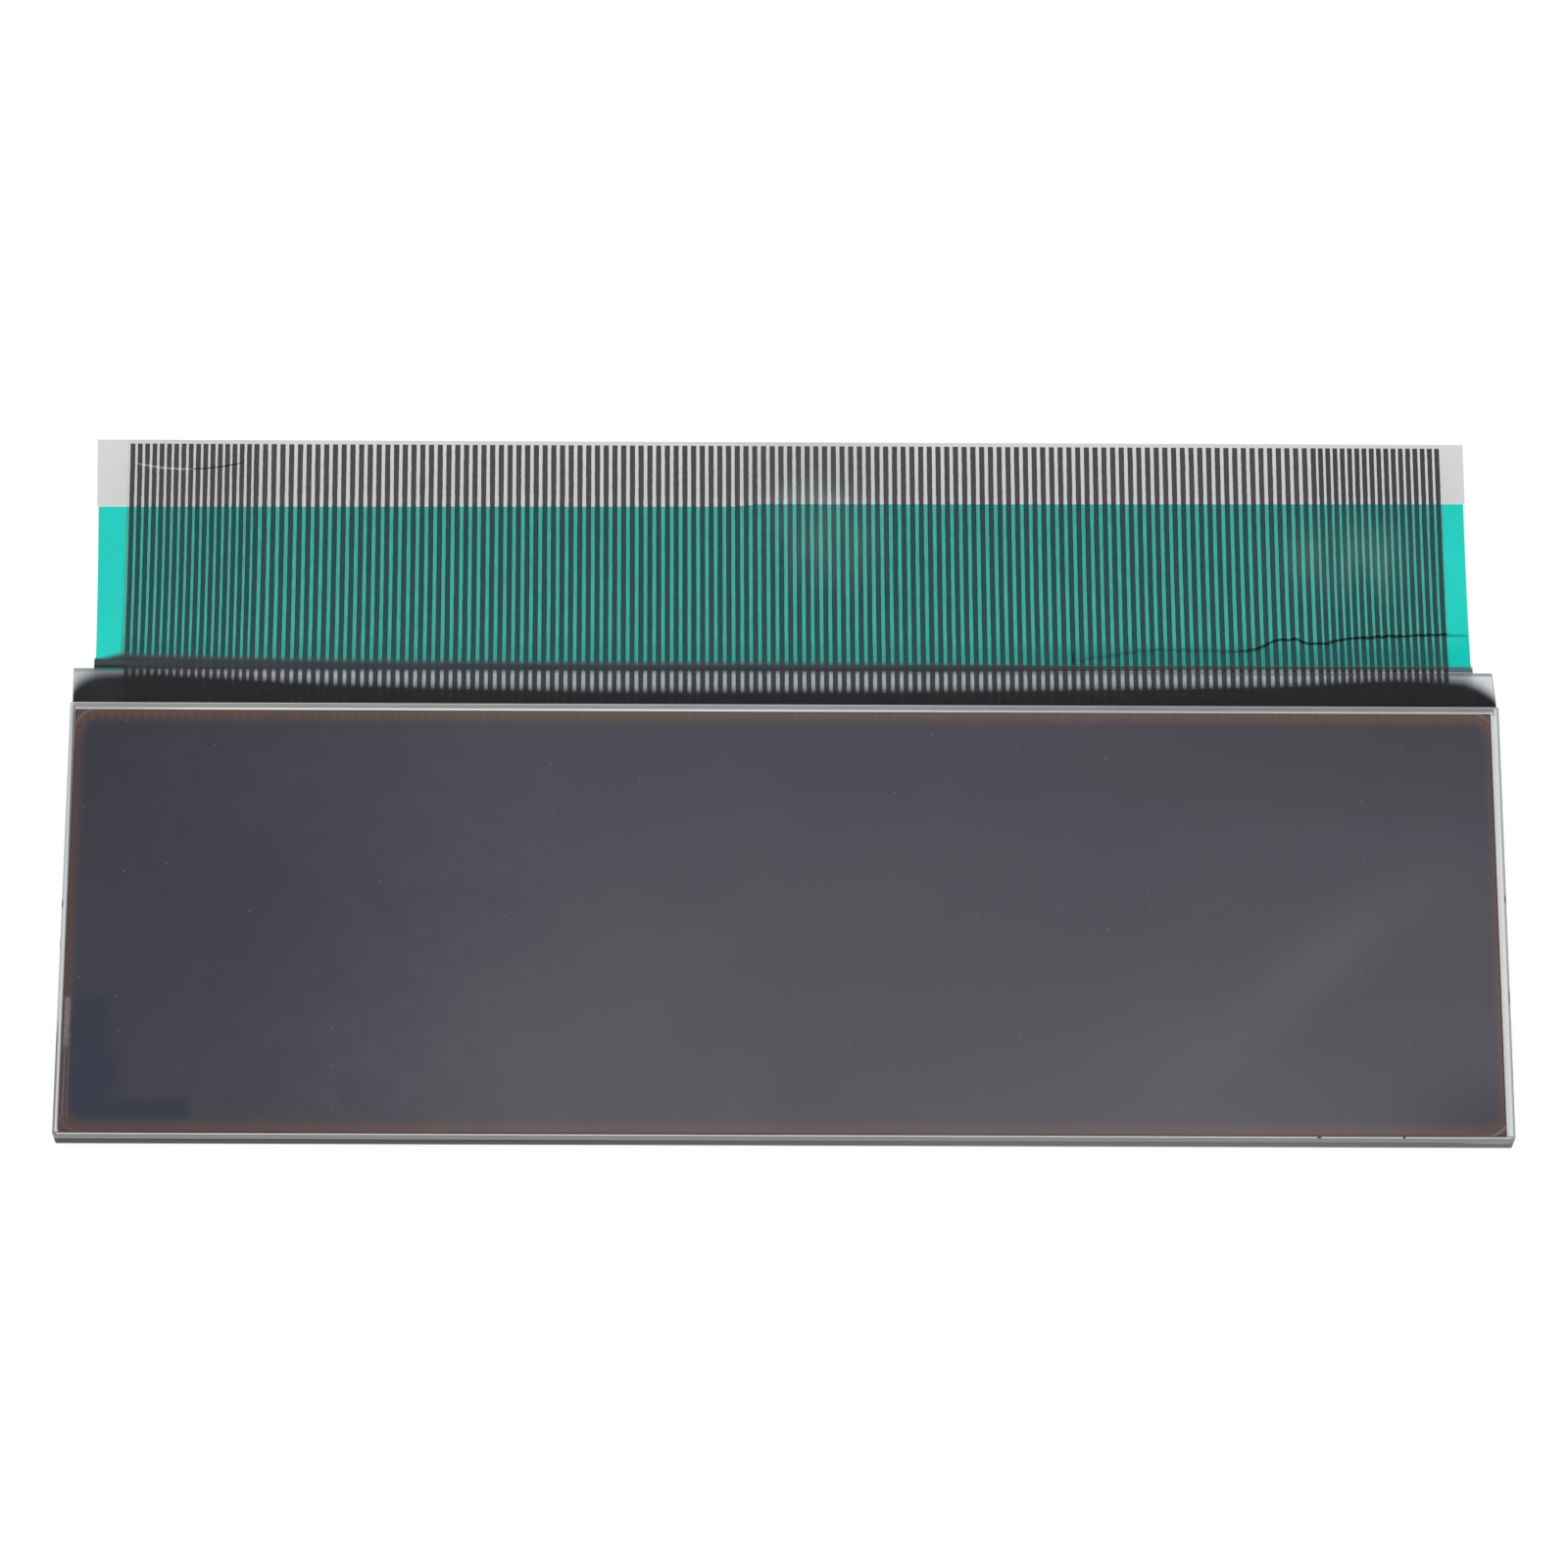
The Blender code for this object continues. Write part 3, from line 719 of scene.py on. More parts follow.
def blotches(graph, position, scale, warp, low, high):
    """Cloudy patches from 0 to 1: noise looked up at a place that a second noise has moved."""
    inputs = {"Vector": position, "Scale": scale, "Detail": 3.0}
    swirl = graph.value("ShaderNodeTexNoise", inputs, output="Color")
    centred = graph.vector("SUBTRACT", swirl, (0.5, 0.5, 0.5))
    push = graph.value("ShaderNodeVectorMath", {0: centred, "Scale": warp}, operation="SCALE")
    cloud = graph.noise(scale, 4.0, 0.55, point=graph.vector("ADD", position, push))
    return cloud.ramp(low, high)


def specks(graph, position, scale, radius, share):
    """Small scattered dots: 1 within a radius of a cell's own point, where that cell is drawn."""
    inputs = {"Vector": position, "Scale": scale}
    cells = graph.add("ShaderNodeTexVoronoi", inputs, voronoi_dimensions="2D").outputs
    reach = radius * scale
    dot = Value(graph, cells["Distance"]).ramp(reach, reach * 0.4)
    draw = graph.parts(Value(graph, cells["Color"]))[0]
    return dot * graph.math("LESS_THAN", draw, share)


def crease_line(graph, along, across, start, end, half_width):
    """A thin line: 1 where the distance to a path is small, between its start and end."""
    thin = abs(across).ramp(half_width, half_width * 0.2)
    return thin * along.between(start, end, 0.3)


def soft_spot(graph, position, centre, radii):
    """A soft oval patch: 1 at its centre, falling smoothly to 0 on the ellipse of its radii."""
    offset = graph.vector("DIVIDE", graph.vector("SUBTRACT", position, centre), radii)
    flat = graph.vector("MULTIPLY", offset, (1.0, 1.0, 0.0))
    distance = graph.value("ShaderNodeVectorMath", {0: flat}, output="Value", operation="LENGTH")
    return distance.ramp(1.0, 0.0)


# Each group's function, its output and its inputs with their defaults
GROUPS = (
    (ledge_shade, "Shade", {"Position": ORIGIN, "Shift": 0.0, "Softness": 0.3}),
    (
        panel_edge, "Inside",
        {"Position": ORIGIN, "Centre": ORIGIN, "Half size": (1.0, 1.0, 0.0), "Radius": 0.5},
    ),
    (blotches, "Patch", {"Position": ORIGIN, "Scale": 0.1, "Warp": 2.0, "Low": 0.35, "High": 0.65}),
    (specks, "Speck", {"Position": ORIGIN, "Scale": 0.3, "Radius": 0.05, "Share": 0.3}),
    (crease_line, "Line", {"Along": 0.0, "Across": 0.0, "Start": 0.0, "End": 1.0, "Half width": 0.05}),
    (soft_spot, "Spot", {"Position": ORIGIN, "Centre": ORIGIN, "Radii": (1.0, 1.0, 1.0)}),
)


def make_groups():
    """Makes the shared group trees. Each is named after the function that fills it."""
    for fill, output, inputs in GROUPS:
        tree = bpy.data.node_groups.new(fill.__name__, "ShaderNodeTree")
        for label, default in inputs.items():
            kind = "NodeSocketVector" if isinstance(default, tuple) else "NodeSocketFloat"
            socket = tree.interface.new_socket(label, in_out="INPUT", socket_type=kind)
            socket.default_value = default
        tree.interface.new_socket(output, in_out="OUTPUT", socket_type="NodeSocketFloat")
        graph = Graph(tree)
        given = graph.add("NodeGroupInput").outputs
        result = fill(graph, *[Value(graph, given[label]) for label in inputs])
        graph.add("NodeGroupOutput", {output: result})


# Materials: places and widths are in millimetres on the part

def new_material(name, roughness, specular=0.5, ior=1.5, metallic=0.0):
    """The graph of a new material with one Principled shader and the point in millimetres."""
    material = bpy.data.materials.new(name)
    material.use_nodes = True
    graph = Graph(material.node_tree)
    graph.material = material
    graph.shader = material.node_tree.nodes["Principled BSDF"].inputs
    constants = {"Roughness": roughness, "Specular IOR Level": specular, "IOR": ior, "Metallic": metallic}
    for label, value in constants.items():
        graph.shader[label].default_value = value
    graph.place()
    return graph


def finish_material(graph, tone, roughness, height, strength, distance):
    """Joins colour, roughness and bump to the shader, and gives the material."""
    bump = graph.value("ShaderNodeBump", {"Height": height, "Strength": strength, "Distance": distance})
    graph.join(graph.shader["Base Color"], tone)
    graph.join(graph.shader["Roughness"], roughness)
    graph.join(graph.shader["Normal"], bump)
    return graph.material


def hide_on_front(graph, cover):
    """Sets how much a see-through piece hides, on the faces that point to the viewer only."""
    backfacing = graph.value("ShaderNodeNewGeometry", output="Backfacing")
    graph.join(graph.shader["Alpha"], cover * (1.0 - backfacing))


def coat_cover(graph):
    """How far a point is past the coat's near edge and past its far edge, in millimetres."""
    coat = bpy.context.scene.lcd_coat
    left = COAT_LOW.x * PER_METRE
    right = COAT_HIGH.x * PER_METRE
    tail = FILM_HIGH.y * PER_METRE
    bend = graph.x.line(left, right, 1.0, 0.0) ** coat.root_bend
    rise = (coat.root_gap_left - coat.root_gap_right) * PER_METRE
    near = bend.linear(rise, LEDGE_EDGE + coat.root_gap_right * PER_METRE)
    rise_end = tail - (coat.bare_tail_right + coat.step) * PER_METRE
    far = graph.x.line(left, right, tail - coat.bare_tail_left * PER_METRE, rise_end)
    half_run = coat.step_run / 2
    step_start = (coat.step_place - half_run) * PER_METRE
    step_end = (coat.step_place + half_run) * PER_METRE
    far = graph.x.ramp(step_start, step_end).linear(coat.step * PER_METRE, far)
    return graph.y - near, graph.y - far


def printed_zone(graph):
    """1 over the printed traces, 0 on the clear margins beside them."""
    centres, widths = trace_places()
    edge = (centres[-1] + widths[-1]) * PER_METRE
    return abs(graph.x).ramp(edge + 0.12, edge - 0.12)


def ledge_softness(graph):
    """Half width of the edge of the ledge's shade: wide at the left end, less so at the right."""
    left = graph.x.ramp(-42.0, -46.0)
    right = graph.x.ramp(41.0, 45.5)
    return right.blend(left.blend(0.38, 0.75), 0.66)


def film_creases(graph):
    """Creases in the film: a wavy one at the right with a nick at its start, and a fine one at the tail."""
    x = graph.x
    reach = graph.y - LEDGE_EDGE
    start, end, height = 19.7, 46.5, 4.0
    wave_points = [
        (0.0, 0.25), (0.08, 0.31), (0.17, 0.42), (0.26, 0.44), (0.43, 0.43), (0.48, 0.52), (0.52, 0.635),
        (0.56, 0.645), (0.60, 0.565), (0.635, 0.57), (0.67, 0.64), (0.71, 0.675), (0.81, 0.715),
        (1.0, 0.74),
    ]
    jitter = graph.noise(1.6, 1.0) - 0.5
    path = jitter.linear(0.35, x.line(start, end, 0.0, 1.0).curve(wave_points) * height - 0.12)
    wavy = graph.group("crease_line", along=x, across=reach - path, start=start, end=end, half_width=0.2)
    across = x - (start - 0.1)
    nick = graph.group("crease_line", along=reach, across=across, start=0.5, end=1.4, half_width=0.10)

    # The fine crease sags as a parabola about its middle
    fine_middle, fine_reach = -41.0, 14.62
    sag = (x - fine_middle) ** 2.0 * 0.034
    across = reach - (sag + fine_reach)
    fine = graph.group("crease_line", along=x, across=across, start=-44.4, end=-37.2, half_width=0.10)
    faint_left = x.ramp(29.0, 32.5).blend(0.5, 1.0)
    return (wavy * faint_left).most(nick), fine


def film_material():
    """Clear film: hazy where bare or bonded, a strip of painted shadow by the ledge, patches of painted
    highlight and creases with painted shade.
    """
    finish = bpy.context.scene.lcd_film
    coat = bpy.context.scene.lcd_coat
    graph = new_material("film", finish.roughness, 0.05, 1.58)
    x, y = graph.x, graph.y
    film_left = FILM_LOW.x * PER_METRE
    past_near, past_far = coat_cover(graph)
    past_ledge = y - LEDGE_EDGE
    printed = printed_zone(graph)
    bare_tail = past_far.ramp(-0.06, 0.06)

    # The strip of painted shadow by the ledge starts and ends a little further out at the right
    late = x.line(10.0, 22.0, 0.0, 0.04)
    beyond_ledge = (past_ledge - late).ramp(-0.12, -0.04)
    # Soft edge of the painted shadow strip where it reaches over the coat
    half_fade = x.ramp(4.0, 16.0).blend(coat.fade * PER_METRE / 2, coat.shadow_fade_right * PER_METRE / 2)
    middle = late.linear(-1.75, x.line(film_left, -30.0, 0.42, 0.2))
    slant = x.ramp(film_left + 2.4, film_left + 0.3) * 0.5
    before_coat = (past_near + slant).ramp(middle + half_fade, middle - half_fade)
    # The strip of clear film by the ledge, where the painted shadow is laid
    window = beyond_ledge * before_coat.most(past_near.ramp(0.06, 0.0))
    # Painted shadow line where the film leaves the ledge at the far left
    seam = past_ledge.between(0.0, 0.22, 0.04) * x.ramp(-44.6, -44.9)
    # The ledge's painted shade: the film's haze on the ledge shows only outside it
    dark = graph.group("ledge_shade", shift=0.1, softness=ledge_softness(graph))
    on_ledge = (1.0 - beyond_ledge) * (1.0 - dark)

    # Creases, and patches of painted highlight where the glossy film catches the light
    wavy, fine = film_creases(graph)
    fine_dark = x.ramp(-41.2, -40.4)
    highlight_spots = graph.spot(2.3, 27.6, 6.5, 5.6).most(graph.spot(38.6, 26.3, 8.5, 4.6))
    fog = highlight_spots * graph.noise(1.0, 1.0, stretch=(0.5, 0.12, 1.0)).ramp(0.25, 0.75)

    # How much the film hides
    left_tail = x.ramp(-32.0, -40.0) * printed
    haze_cover = left_tail.blend(finish.haze_cover, finish.haze_cover_left)
    haze_cover = graph.spot(1.5, 33.0, 9.0, 9.0).linear(0.09, haze_cover)
    haze_cover = on_ledge.blend(haze_cover, finish.ledge_cover)
    cover = bare_tail.most(on_ledge).blend(finish.clear_cover, haze_cover)
    between_traces = printed * (1.0 - bare_tail) * beyond_ledge
    cover = between_traces.linear(finish.print_cover, cover)
    cover = fog.linear(0.045, cover)
    thin_print = printed * x.ramp(14.0, 38.0)
    cover = window.blend(cover, thin_print.blend(finish.window_cover, finish.window_cover_right))
    cover = seam.blend(cover, 0.99)
    # The creases' painted shade hides part of what lies under them
    cover = cover.most(wavy * printed.blend(0.25, 0.6))
    cover = cover.most(fine * fine_dark.blend(0.3, 0.9))
    hide_on_front(graph, graph.math("MINIMUM", cover, 1.0))

    # Colour and dents
    streaks = graph.noise(0.6, 3.0, stretch=(0.25, 4.0, 1.0))
    # Painted shadow in the strip, streaky, with its own tones on the margins
    slate = streaks.ramp(0.3, 0.8).mix(finish.window, scaled(finish.window, 1.25))
    margin = x.ramp(-1.0, 1.0).mix(finish.window_left, finish.window_end)
    tone = paint(
        fog.mix(finish.haze, finish.fog),
        (window, (1.0 - printed).mix(slate, margin)),
        (seam, finish.seam),
        (wavy, finish.crease),
        (fine, fine_dark.mix(finish.fine_crease_light, finish.fine_crease)),
    )
    grain = graph.noise(1.1, 3.0)
    roughness = grain.blend(finish.roughness - 0.06, finish.roughness + 0.1)
    dent = wavy.most(fine).linear(-1.0, grain * 0.4)
    return finish_material(graph, tone, roughness, dent, 0.35, 0.00006)


def carbon_material():
    """Ink that is worn in places, teal where the coat backs it, with painted shade under the wavy crease,
    and near black in the painted shade beside the front plate.
    """
    trace = bpy.context.scene.lcd_traces
    graph = new_material("carbon_ink", 0.55, 0.08)
    grain = graph.noise(5.0, 4.0, 0.7)
    drawn = graph.noise(1.0, 2.0, stretch=(6.0, 0.35, 1.0))
    worn = grain.ramp(0.45, 0.75) * drawn.ramp(0.35, 0.7)
    past_near, past_far = coat_cover(graph)
    over_coat = past_far.ramp(0.05, -0.05) * past_near.ramp(-0.1, 0.1)
    across = graph.value("ShaderNodeAttribute", output="Fac", attribute_name="across")
    coated = abs(across - 0.5).ramp(0.2, 0.5).mix(trace.coated_ink, trace.coated_edge)
    fine_zone = abs(graph.x).ramp(36.0, 36.6)
    bonded = graph.y.ramp(LEDGE_EDGE + 0.4, LEDGE_EDGE)
    dark = graph.group("ledge_shade", shift=0.0, softness=ledge_softness(graph) + 0.1)
    tone = paint(
        fine_zone.mix(trace.ink, trace.fine_ink),
        (bonded, trace.pressed_ink),
        (over_coat, coated),
        (worn * over_coat.blend(0.35, 0.08), trace.worn_ink),
        # Painted shade under the wavy crease
        (film_creases(graph)[0], trace.creased_ink),
        (dark, bpy.context.scene.lcd_glass.ledge_ink),
    )
    return finish_material(graph, tone, grain.blend(0.45, 0.7), grain, 0.3, 0.00001)


def coat_material():
    """Teal print: lighter on the clear margins, duller between the traces, deeper towards the ledge."""
    coat = bpy.context.scene.lcd_coat
    graph = new_material("teal_coat", 0.45, 0.05)
    past_near = coat_cover(graph)[0]
    cloud = graph.group("blotches", scale=0.16, warp=4.0)
    weave = graph.noise(3.0, 3.0, stretch=(1.0, 0.3, 1.0))
    deep = past_near.ramp(2.4, 1.0) * graph.x.ramp(12.0, 20.0).blend(0.5, 1.0)
    deep_right = past_near.ramp(3.6, 0.8) * graph.x.ramp(40.0, 44.0)
    light = paint(cloud.mix(coat.teal, scaled(coat.teal, 1.07)), (deep_right, coat.deep_teal))
    dull = paint(
        cloud.mix(coat.printed_teal, scaled(coat.printed_teal, 0.9)),
        (weave.ramp(0.35, 0.7), scaled(coat.printed_teal, 1.08)),
        (deep, coat.deep_print),
    )
    tone = printed_zone(graph).mix(light, dull)
    return finish_material(graph, tone, weave.blend(0.38, 0.55), weave, 0.2, 0.00001)


def adhesive_material():
    """Cloudy bond that barely hides the ledge, and only where light comes through."""
    core = bpy.context.scene.lcd_core
    graph = new_material("bond_adhesive", 0.5, 0.1)
    cloud = graph.group("blotches", scale=1.2, warp=0.6)
    graph.join(graph.shader["Base Color"], cloud.mix(core.adhesive, scaled(core.adhesive, 1.3)))
    lit = 1.0 - graph.group("ledge_shade", shift=0.0, softness=0.3)
    hide_on_front(graph, lit * core.adhesive_cover)
    return graph.material


# Chips along the front plate's rim: place in X and Y and half size both ways, in millimetres
EDGE_CHIPS = (
    (-48.22, 0.8, 0.12, 0.45), (-48.26, -1.95, 0.10, 0.6), (48.2, 1.5, 0.12, 0.5), (48.24, -5.4, 0.14, 0.9),
    (35.3, -15.2, 0.22, 0.14), (40.9, -15.2, 0.16, 0.14),
)


def ledge_finish(graph):
    """Where the contact ledge is, its colour with the painted shade beside the front plate, and how much it
    hides.
    """
    glass = bpy.context.scene.lcd_glass
    x, y = graph.x, graph.y
    dark = graph.group("ledge_shade", shift=0.0, softness=ledge_softness(graph))
    film_root = (FILM_LOW.x + bpy.context.scene.lcd_ribbon.root_skew) * PER_METRE
    across = y - (LEDGE_EDGE - 0.1)
    # Painted reflection of the teal coat along the ledge's far left edge
    teal_reflection = graph.group(
        "crease_line", along=x, across=across, start=film_root, end=film_root + 1.9, half_width=0.35
    )
    grime = graph.group("specks", scale=0.5, radius=0.05, share=0.12)
    tone = paint(
        dark.mix(glass.ledge_light, glass.ledge_dark),
        (grime * 0.35, glass.grime),
        (teal_reflection * 0.75, glass.teal_reflection),
    )
    cover = x.ramp(-43.5, -45.5).blend(glass.ledge_cover, glass.ledge_cover_left)
    cover = x.ramp(44.0, 46.0).blend(cover, glass.ledge_cover_right)
    cover = y.ramp(LEDGE_EDGE - 0.34, LEDGE_EDGE - 0.16).blend(cover, 0.97)
    # In the painted shade the ledge hides nearly all that lies under it
    cover = dark.blend(cover.most(teal_reflection), x.line(20.0, 44.0, 0.991, 0.998))
    return y.ramp(PLATE_EDGE - 0.02, PLATE_EDGE), tone, cover


def glass_material(name, low, high, with_ledge):
    """Clear plate: rim lines on its face, pale ground arrises and grey cut sides, on one also the ledge."""
    glass = bpy.context.scene.lcd_glass
    graph = new_material(name, 0.06, 0.04 if with_ledge else 0.1, 1.52)
    x, y, z = graph.x, graph.y, graph.z
    end, far, top, base = (value * PER_METRE for value in (high.x, high.y, high.z, low.z))
    facing = graph.parts(graph.value("ShaderNodeNewGeometry", output="Normal"))
    upright = abs(facing[2])
    side = upright.ramp(0.45, 0.25)
    arris = upright.ramp(0.45, 0.6) * upright.ramp(0.95, 0.85)
    chips = graph.noise(2.2, 4.0, 0.65, stretch=(1.0, 1.0, 3.0))
    smudge = graph.noise(1.0, 3.0, stretch=(0.3, 0.3, 0.3))

    # Lines along the rim of the face
    inside = graph.panel(low, high, 0.01)
    on_right = x.ramp(-1.0, 1.0)
    on_left = 1.0 - on_right
    toward_right = x.ramp(2.0, 26.0)
    at_ends = x.ramp(-8.0, 22.0).most(x.ramp(-38.0, -46.0))
    beside_ledge = y.ramp(far - 0.75, far - 0.55) * (end - abs(x)).ramp(0.2, 0.4)
    early = y.line(2.4, 15.0, 0.0, 0.12)
    outer_tone = paint(
        on_right.mix(glass.margin_grey, glass.outer_grey), (y.ramp(-6.5, -9.0) * on_left, glass.inner_grey)
    )
    side_line = paint(
        outer_tone,
        (inside.ramp(0.12, 0.19), glass.margin_light),
        ((inside + early).ramp(0.27, 0.33) * on_left, glass.inner_grey),
        # Painted light: the right rim is whitened next to the polarizer, against the shade that its wall
        # casts
        (inside.ramp(0.40, 0.52) * on_right, WHITE),
    )
    far_grey = toward_right.mix(glass.far_grey, glass.far_grey_right)
    far_light = at_ends.mix(glass.far_light, glass.far_dull)
    far_line = inside.ramp(0.35, 0.41).mix(far_grey, far_light)
    rim = paint(side_line, (beside_ledge, far_line), (smudge.ramp(0.35, 0.7) * 0.1, glass.margin_grey))

    # The face, the cut sides and the part of the arrises that is ground
    upper = z.ramp(top - 0.35, top - 0.2)
    if with_ledge:
        on_ledge, ledge_tone, ledge_cover = ledge_finish(graph)
        face = on_ledge.mix(rim, ledge_tone)
        cover = on_ledge.blend(glass.rim_cover, ledge_cover)
        lit_side = x.ramp(-26.0, 24.0).most(facing[1].ramp(-0.6, -0.3))
        cut = lit_side.mix(glass.rear_side, glass.rear_side_right)
        upper = upper * on_ledge.most(x.ramp(44.3, 46.0) * 0.6)
    else:
        face = rim
        cover = glass.rim_cover
        low_line = z.ramp(base + 0.4, base + 0.2) * x.ramp(12.0, -16.0)
        cut = low_line.mix(glass.side, glass.side_line)
    side_tone = (chips.ramp(0.62, 0.72) * 0.12).mix(cut, glass.margin_grey)
    ground = paint(
        glass.arris,
        (chips.ramp(0.4, 0.65) * 0.2, glass.margin_grey),
        (toward_right * beside_ledge, glass.far_arris_right),
        (abs(x).ramp(end - 0.35, end - 0.2), outer_tone),
    )
    if with_ledge:
        film_end = FILM_HIGH.x * PER_METRE
        under_film = abs(x).ramp(film_end + 0.3, film_end - 0.3)
        # Painted shade on the ledge's ground edge under the ribbon
        ledge_line = under_film.mix(glass.corner_edge, glass.ledge_edge)
        ground = y.ramp(LEDGE_EDGE - 0.25, LEDGE_EDGE - 0.15).mix(ground, ledge_line)
    tone = paint(face, (side, side_tone), (arris, upper.mix(side_tone, ground)))
    if not with_ledge:
        for chip in EDGE_CHIPS:
            tone = paint(tone, (graph.spot(*chip).ramp(0.1, 0.5) * upper, glass.chip))
    edge = side.most(arris)
    hide_on_front(graph, edge.blend(cover, 0.99))
    return finish_material(graph, tone, edge.blend(0.05, 0.22), chips, 0.12, 0.00004)


def reflected_screen(graph, mottle):
    """The screen's greys with painted reflection: indigo at the left where it is weakest, a painted
    reflection palest at the near right with a diagonal painted sheen, and painted dimming at the far right.
    """
    screen = bpy.context.scene.lcd_screen
    x, y = graph.x, graph.y
    slow = graph.group("blotches", scale=0.07, warp=9.0)
    sway = graph.math("COSINE", y * 0.32) * 2.0
    left_side = (x - mottle.linear(3.0, sway)).ramp(-13.0, -47.5)
    # Painted reflection from here on: pale towards the near right, a diagonal sheen, and dimmer at the far
    # right
    low_side = y.ramp(16.0, -17.0)
    bell = graph.spot(25.0, -19.0, 24.0, 17.0)
    from_sheen = abs(y.linear(-1.13, x) - 39.2)
    sheen = from_sheen.ramp(5.5, 0.0) * y.ramp(6.0, -2.0)
    far_right = x.ramp(12.0, 40.0) * y.ramp(5.0, 14.0)
    dim = far_right.most(graph.spot(47.0, -15.0, 9.0, 7.0))
    return paint(
        screen.grey,
        (low_side * (1.0 - left_side) * 0.55, screen.pale),
        (left_side, screen.indigo),
        (low_side * 0.14, screen.pale),
        (bell * 0.9, screen.pale),
        (sheen * 0.45, screen.pale),
        (dim * 0.7, screen.dusk),
        (slow * 0.12, screen.indigo),
    )


def navy_corner_mark(graph, mottle):
    """Where the near left corner is painted navy: an upright bar with a bulge, and a lying bar."""
    drift = (mottle - 0.5) * 0.5
    upright = graph.group("panel_edge", centre=(-46.3, -10.2, 0.0), half_size=(1.6, 4.4, 0.0), radius=0.3)
    lying = graph.group("panel_edge", centre=(-43.6, -13.6, 0.0), half_size=(4.3, 0.8, 0.0), radius=0.3)
    bulge = graph.spot(-46.4, -10.8, 3.9, 4.6)
    upright = (upright + drift).ramp(-0.45, 0.45).most(bulge.ramp(0.0, 0.6))
    return upright.most((lying + drift).ramp(-0.5, 0.4)) * mottle.blend(1.0, 0.8)


def seal_shows(graph, reflected_tone):
    """The seal seen through the film: its share, its colour and the share of its light corner line."""
    screen = bpy.context.scene.lcd_screen
    x, y = graph.x, graph.y
    inside = graph.panel(SEAL_LOW, SEAL_HIGH, 1.55)
    wobble = (graph.noise(0.8, 3.0) - 0.5) * 0.25
    middle = (SEAL_LOW.y + SEAL_HIGH.y) / 2 * PER_METRE
    from_middle = abs(y - middle)
    width = from_middle.ramp(13.0, 14.0).blend(0.85, 1.15)
    far_side = y.ramp(12.0, 14.0)
    added = (screen.seal_red, screen.seal_green, -screen.seal_blue)
    near_tone = graph.vector("ADD", reflected_tone, added)
    far_tone = graph.vector("ADD", near_tone, (0.012, 0.010, 0.003))
    comb = graph.math("SINE", x * (2 * math.pi / TICK_PITCH))
    ticks = comb.ramp(0.1, 0.9) * far_side
    tone = paint(near_tone, (far_side, far_tone), (ticks * 0.08, screen.ticks))

    # The corner line is faint at the near left and strong at the near right
    at_corner = abs(x).ramp(44.0, 46.4) * from_middle.ramp(11.8, 13.4)
    right_near = x.ramp(40.0, 44.0) * y.ramp(-8.0, -12.0)
    left_near = x.ramp(-40.0, -44.0) * y.ramp(-8.0, -12.0)
    strength = left_near.blend(right_near.blend(0.40, 0.75), 0.15)
    corner_line = inside.between(-0.10, 0.02, 0.07) * (at_corner * strength)
    return (inside + wobble).ramp(width, 0.15), tone, corner_line


def port_resin(graph):
    """Where the fill port's resin shows: a ragged streak and two fine lines along the left edge."""
    grains = graph.noise(5.0, 3.0, 0.7, stretch=(1.0, 0.45, 1.0))
    ragged = (grains - 0.5).linear(0.16, graph.x - SCREEN_LOW.x * PER_METRE)
    port_top = PLUG_TOP * PER_METRE
    solid = ragged.between(0.10, 0.46, 0.06) * graph.y.ramp(port_top - 4.0, port_top - 2.8)
    inner_line = ragged.between(0.20, 0.27, 0.05) * 0.75
    outer_line = ragged.between(0.48, 0.54, 0.05) * 0.5
    streak = solid.most(inner_line.most(outer_line))
    in_port = graph.y.between(port_top - 8.3, port_top, 0.12)
    return streak * in_port * grains.ramp(0.42, 0.60).blend(1.0, 0.7)


def screen_material():
    """The front polarizer with its painted reflections, with the seal and the resin plug that show through
    it, the navy corner mark and the specks.
    """
    screen = bpy.context.scene.lcd_screen
    graph = new_material("front_polarizer", screen.roughness, 0.3, 1.49)
    mottle = graph.group("blotches", scale=0.45, warp=2.5)
    reflected_tone = reflected_screen(graph, mottle)
    dots = graph.group("specks", scale=0.22, radius=0.11, share=0.30)
    moved = graph.vector("ADD", graph.position, (13.0, 7.0, 0.0))
    dust = graph.group("specks", position=moved, scale=0.35, radius=0.07, share=0.14)
    ring, ring_tone, corner_line = seal_shows(graph, reflected_tone)
    rim = graph.panel(SCREEN_LOW, SCREEN_HIGH, 0.05).ramp(0.11, 0.03)
    rim_strength = graph.x.ramp(46.8, 47.2).blend(0.35, 0.85)
    tone = paint(
        reflected_tone,
        (navy_corner_mark(graph, mottle), screen.navy),
        (dots * 0.35, screen.dusk),
        (dust * 0.35, screen.dust),
        (ring, ring_tone),
        (corner_line, screen.corner_line),
        (port_resin(graph) * 0.85, screen.resin),
        (rim * rim_strength, screen.rim),
    )
    satin = graph.noise(0.25, 4.0)
    orange_peel = graph.noise(0.55, 2.0)
    roughness = satin.blend(screen.roughness - 0.05, screen.roughness + 0.09)
    return finish_material(graph, tone, roughness, orange_peel, 0.05, 0.0002)


def plain_material(name, base, roughness, grain_scale, spread, metallic=0.0):
    """A finish with cloudy tones and fine grain, which the roughness follows."""
    graph = new_material(name, roughness, 0.4, metallic=metallic)
    cloud = graph.group("blotches", scale=grain_scale, warp=1.0 / grain_scale)
    grain = graph.noise(grain_scale * 8.0, 3.0)
    darker = scaled(base, 1.0 - spread)
    tone = paint(darker, (cloud, scaled(base, 1.0 + spread)), (grain * 0.3, darker))
    varied = grain.blend(roughness - 0.08, roughness + 0.08)
    return finish_material(graph, tone, varied, grain, 0.2, 0.00002)


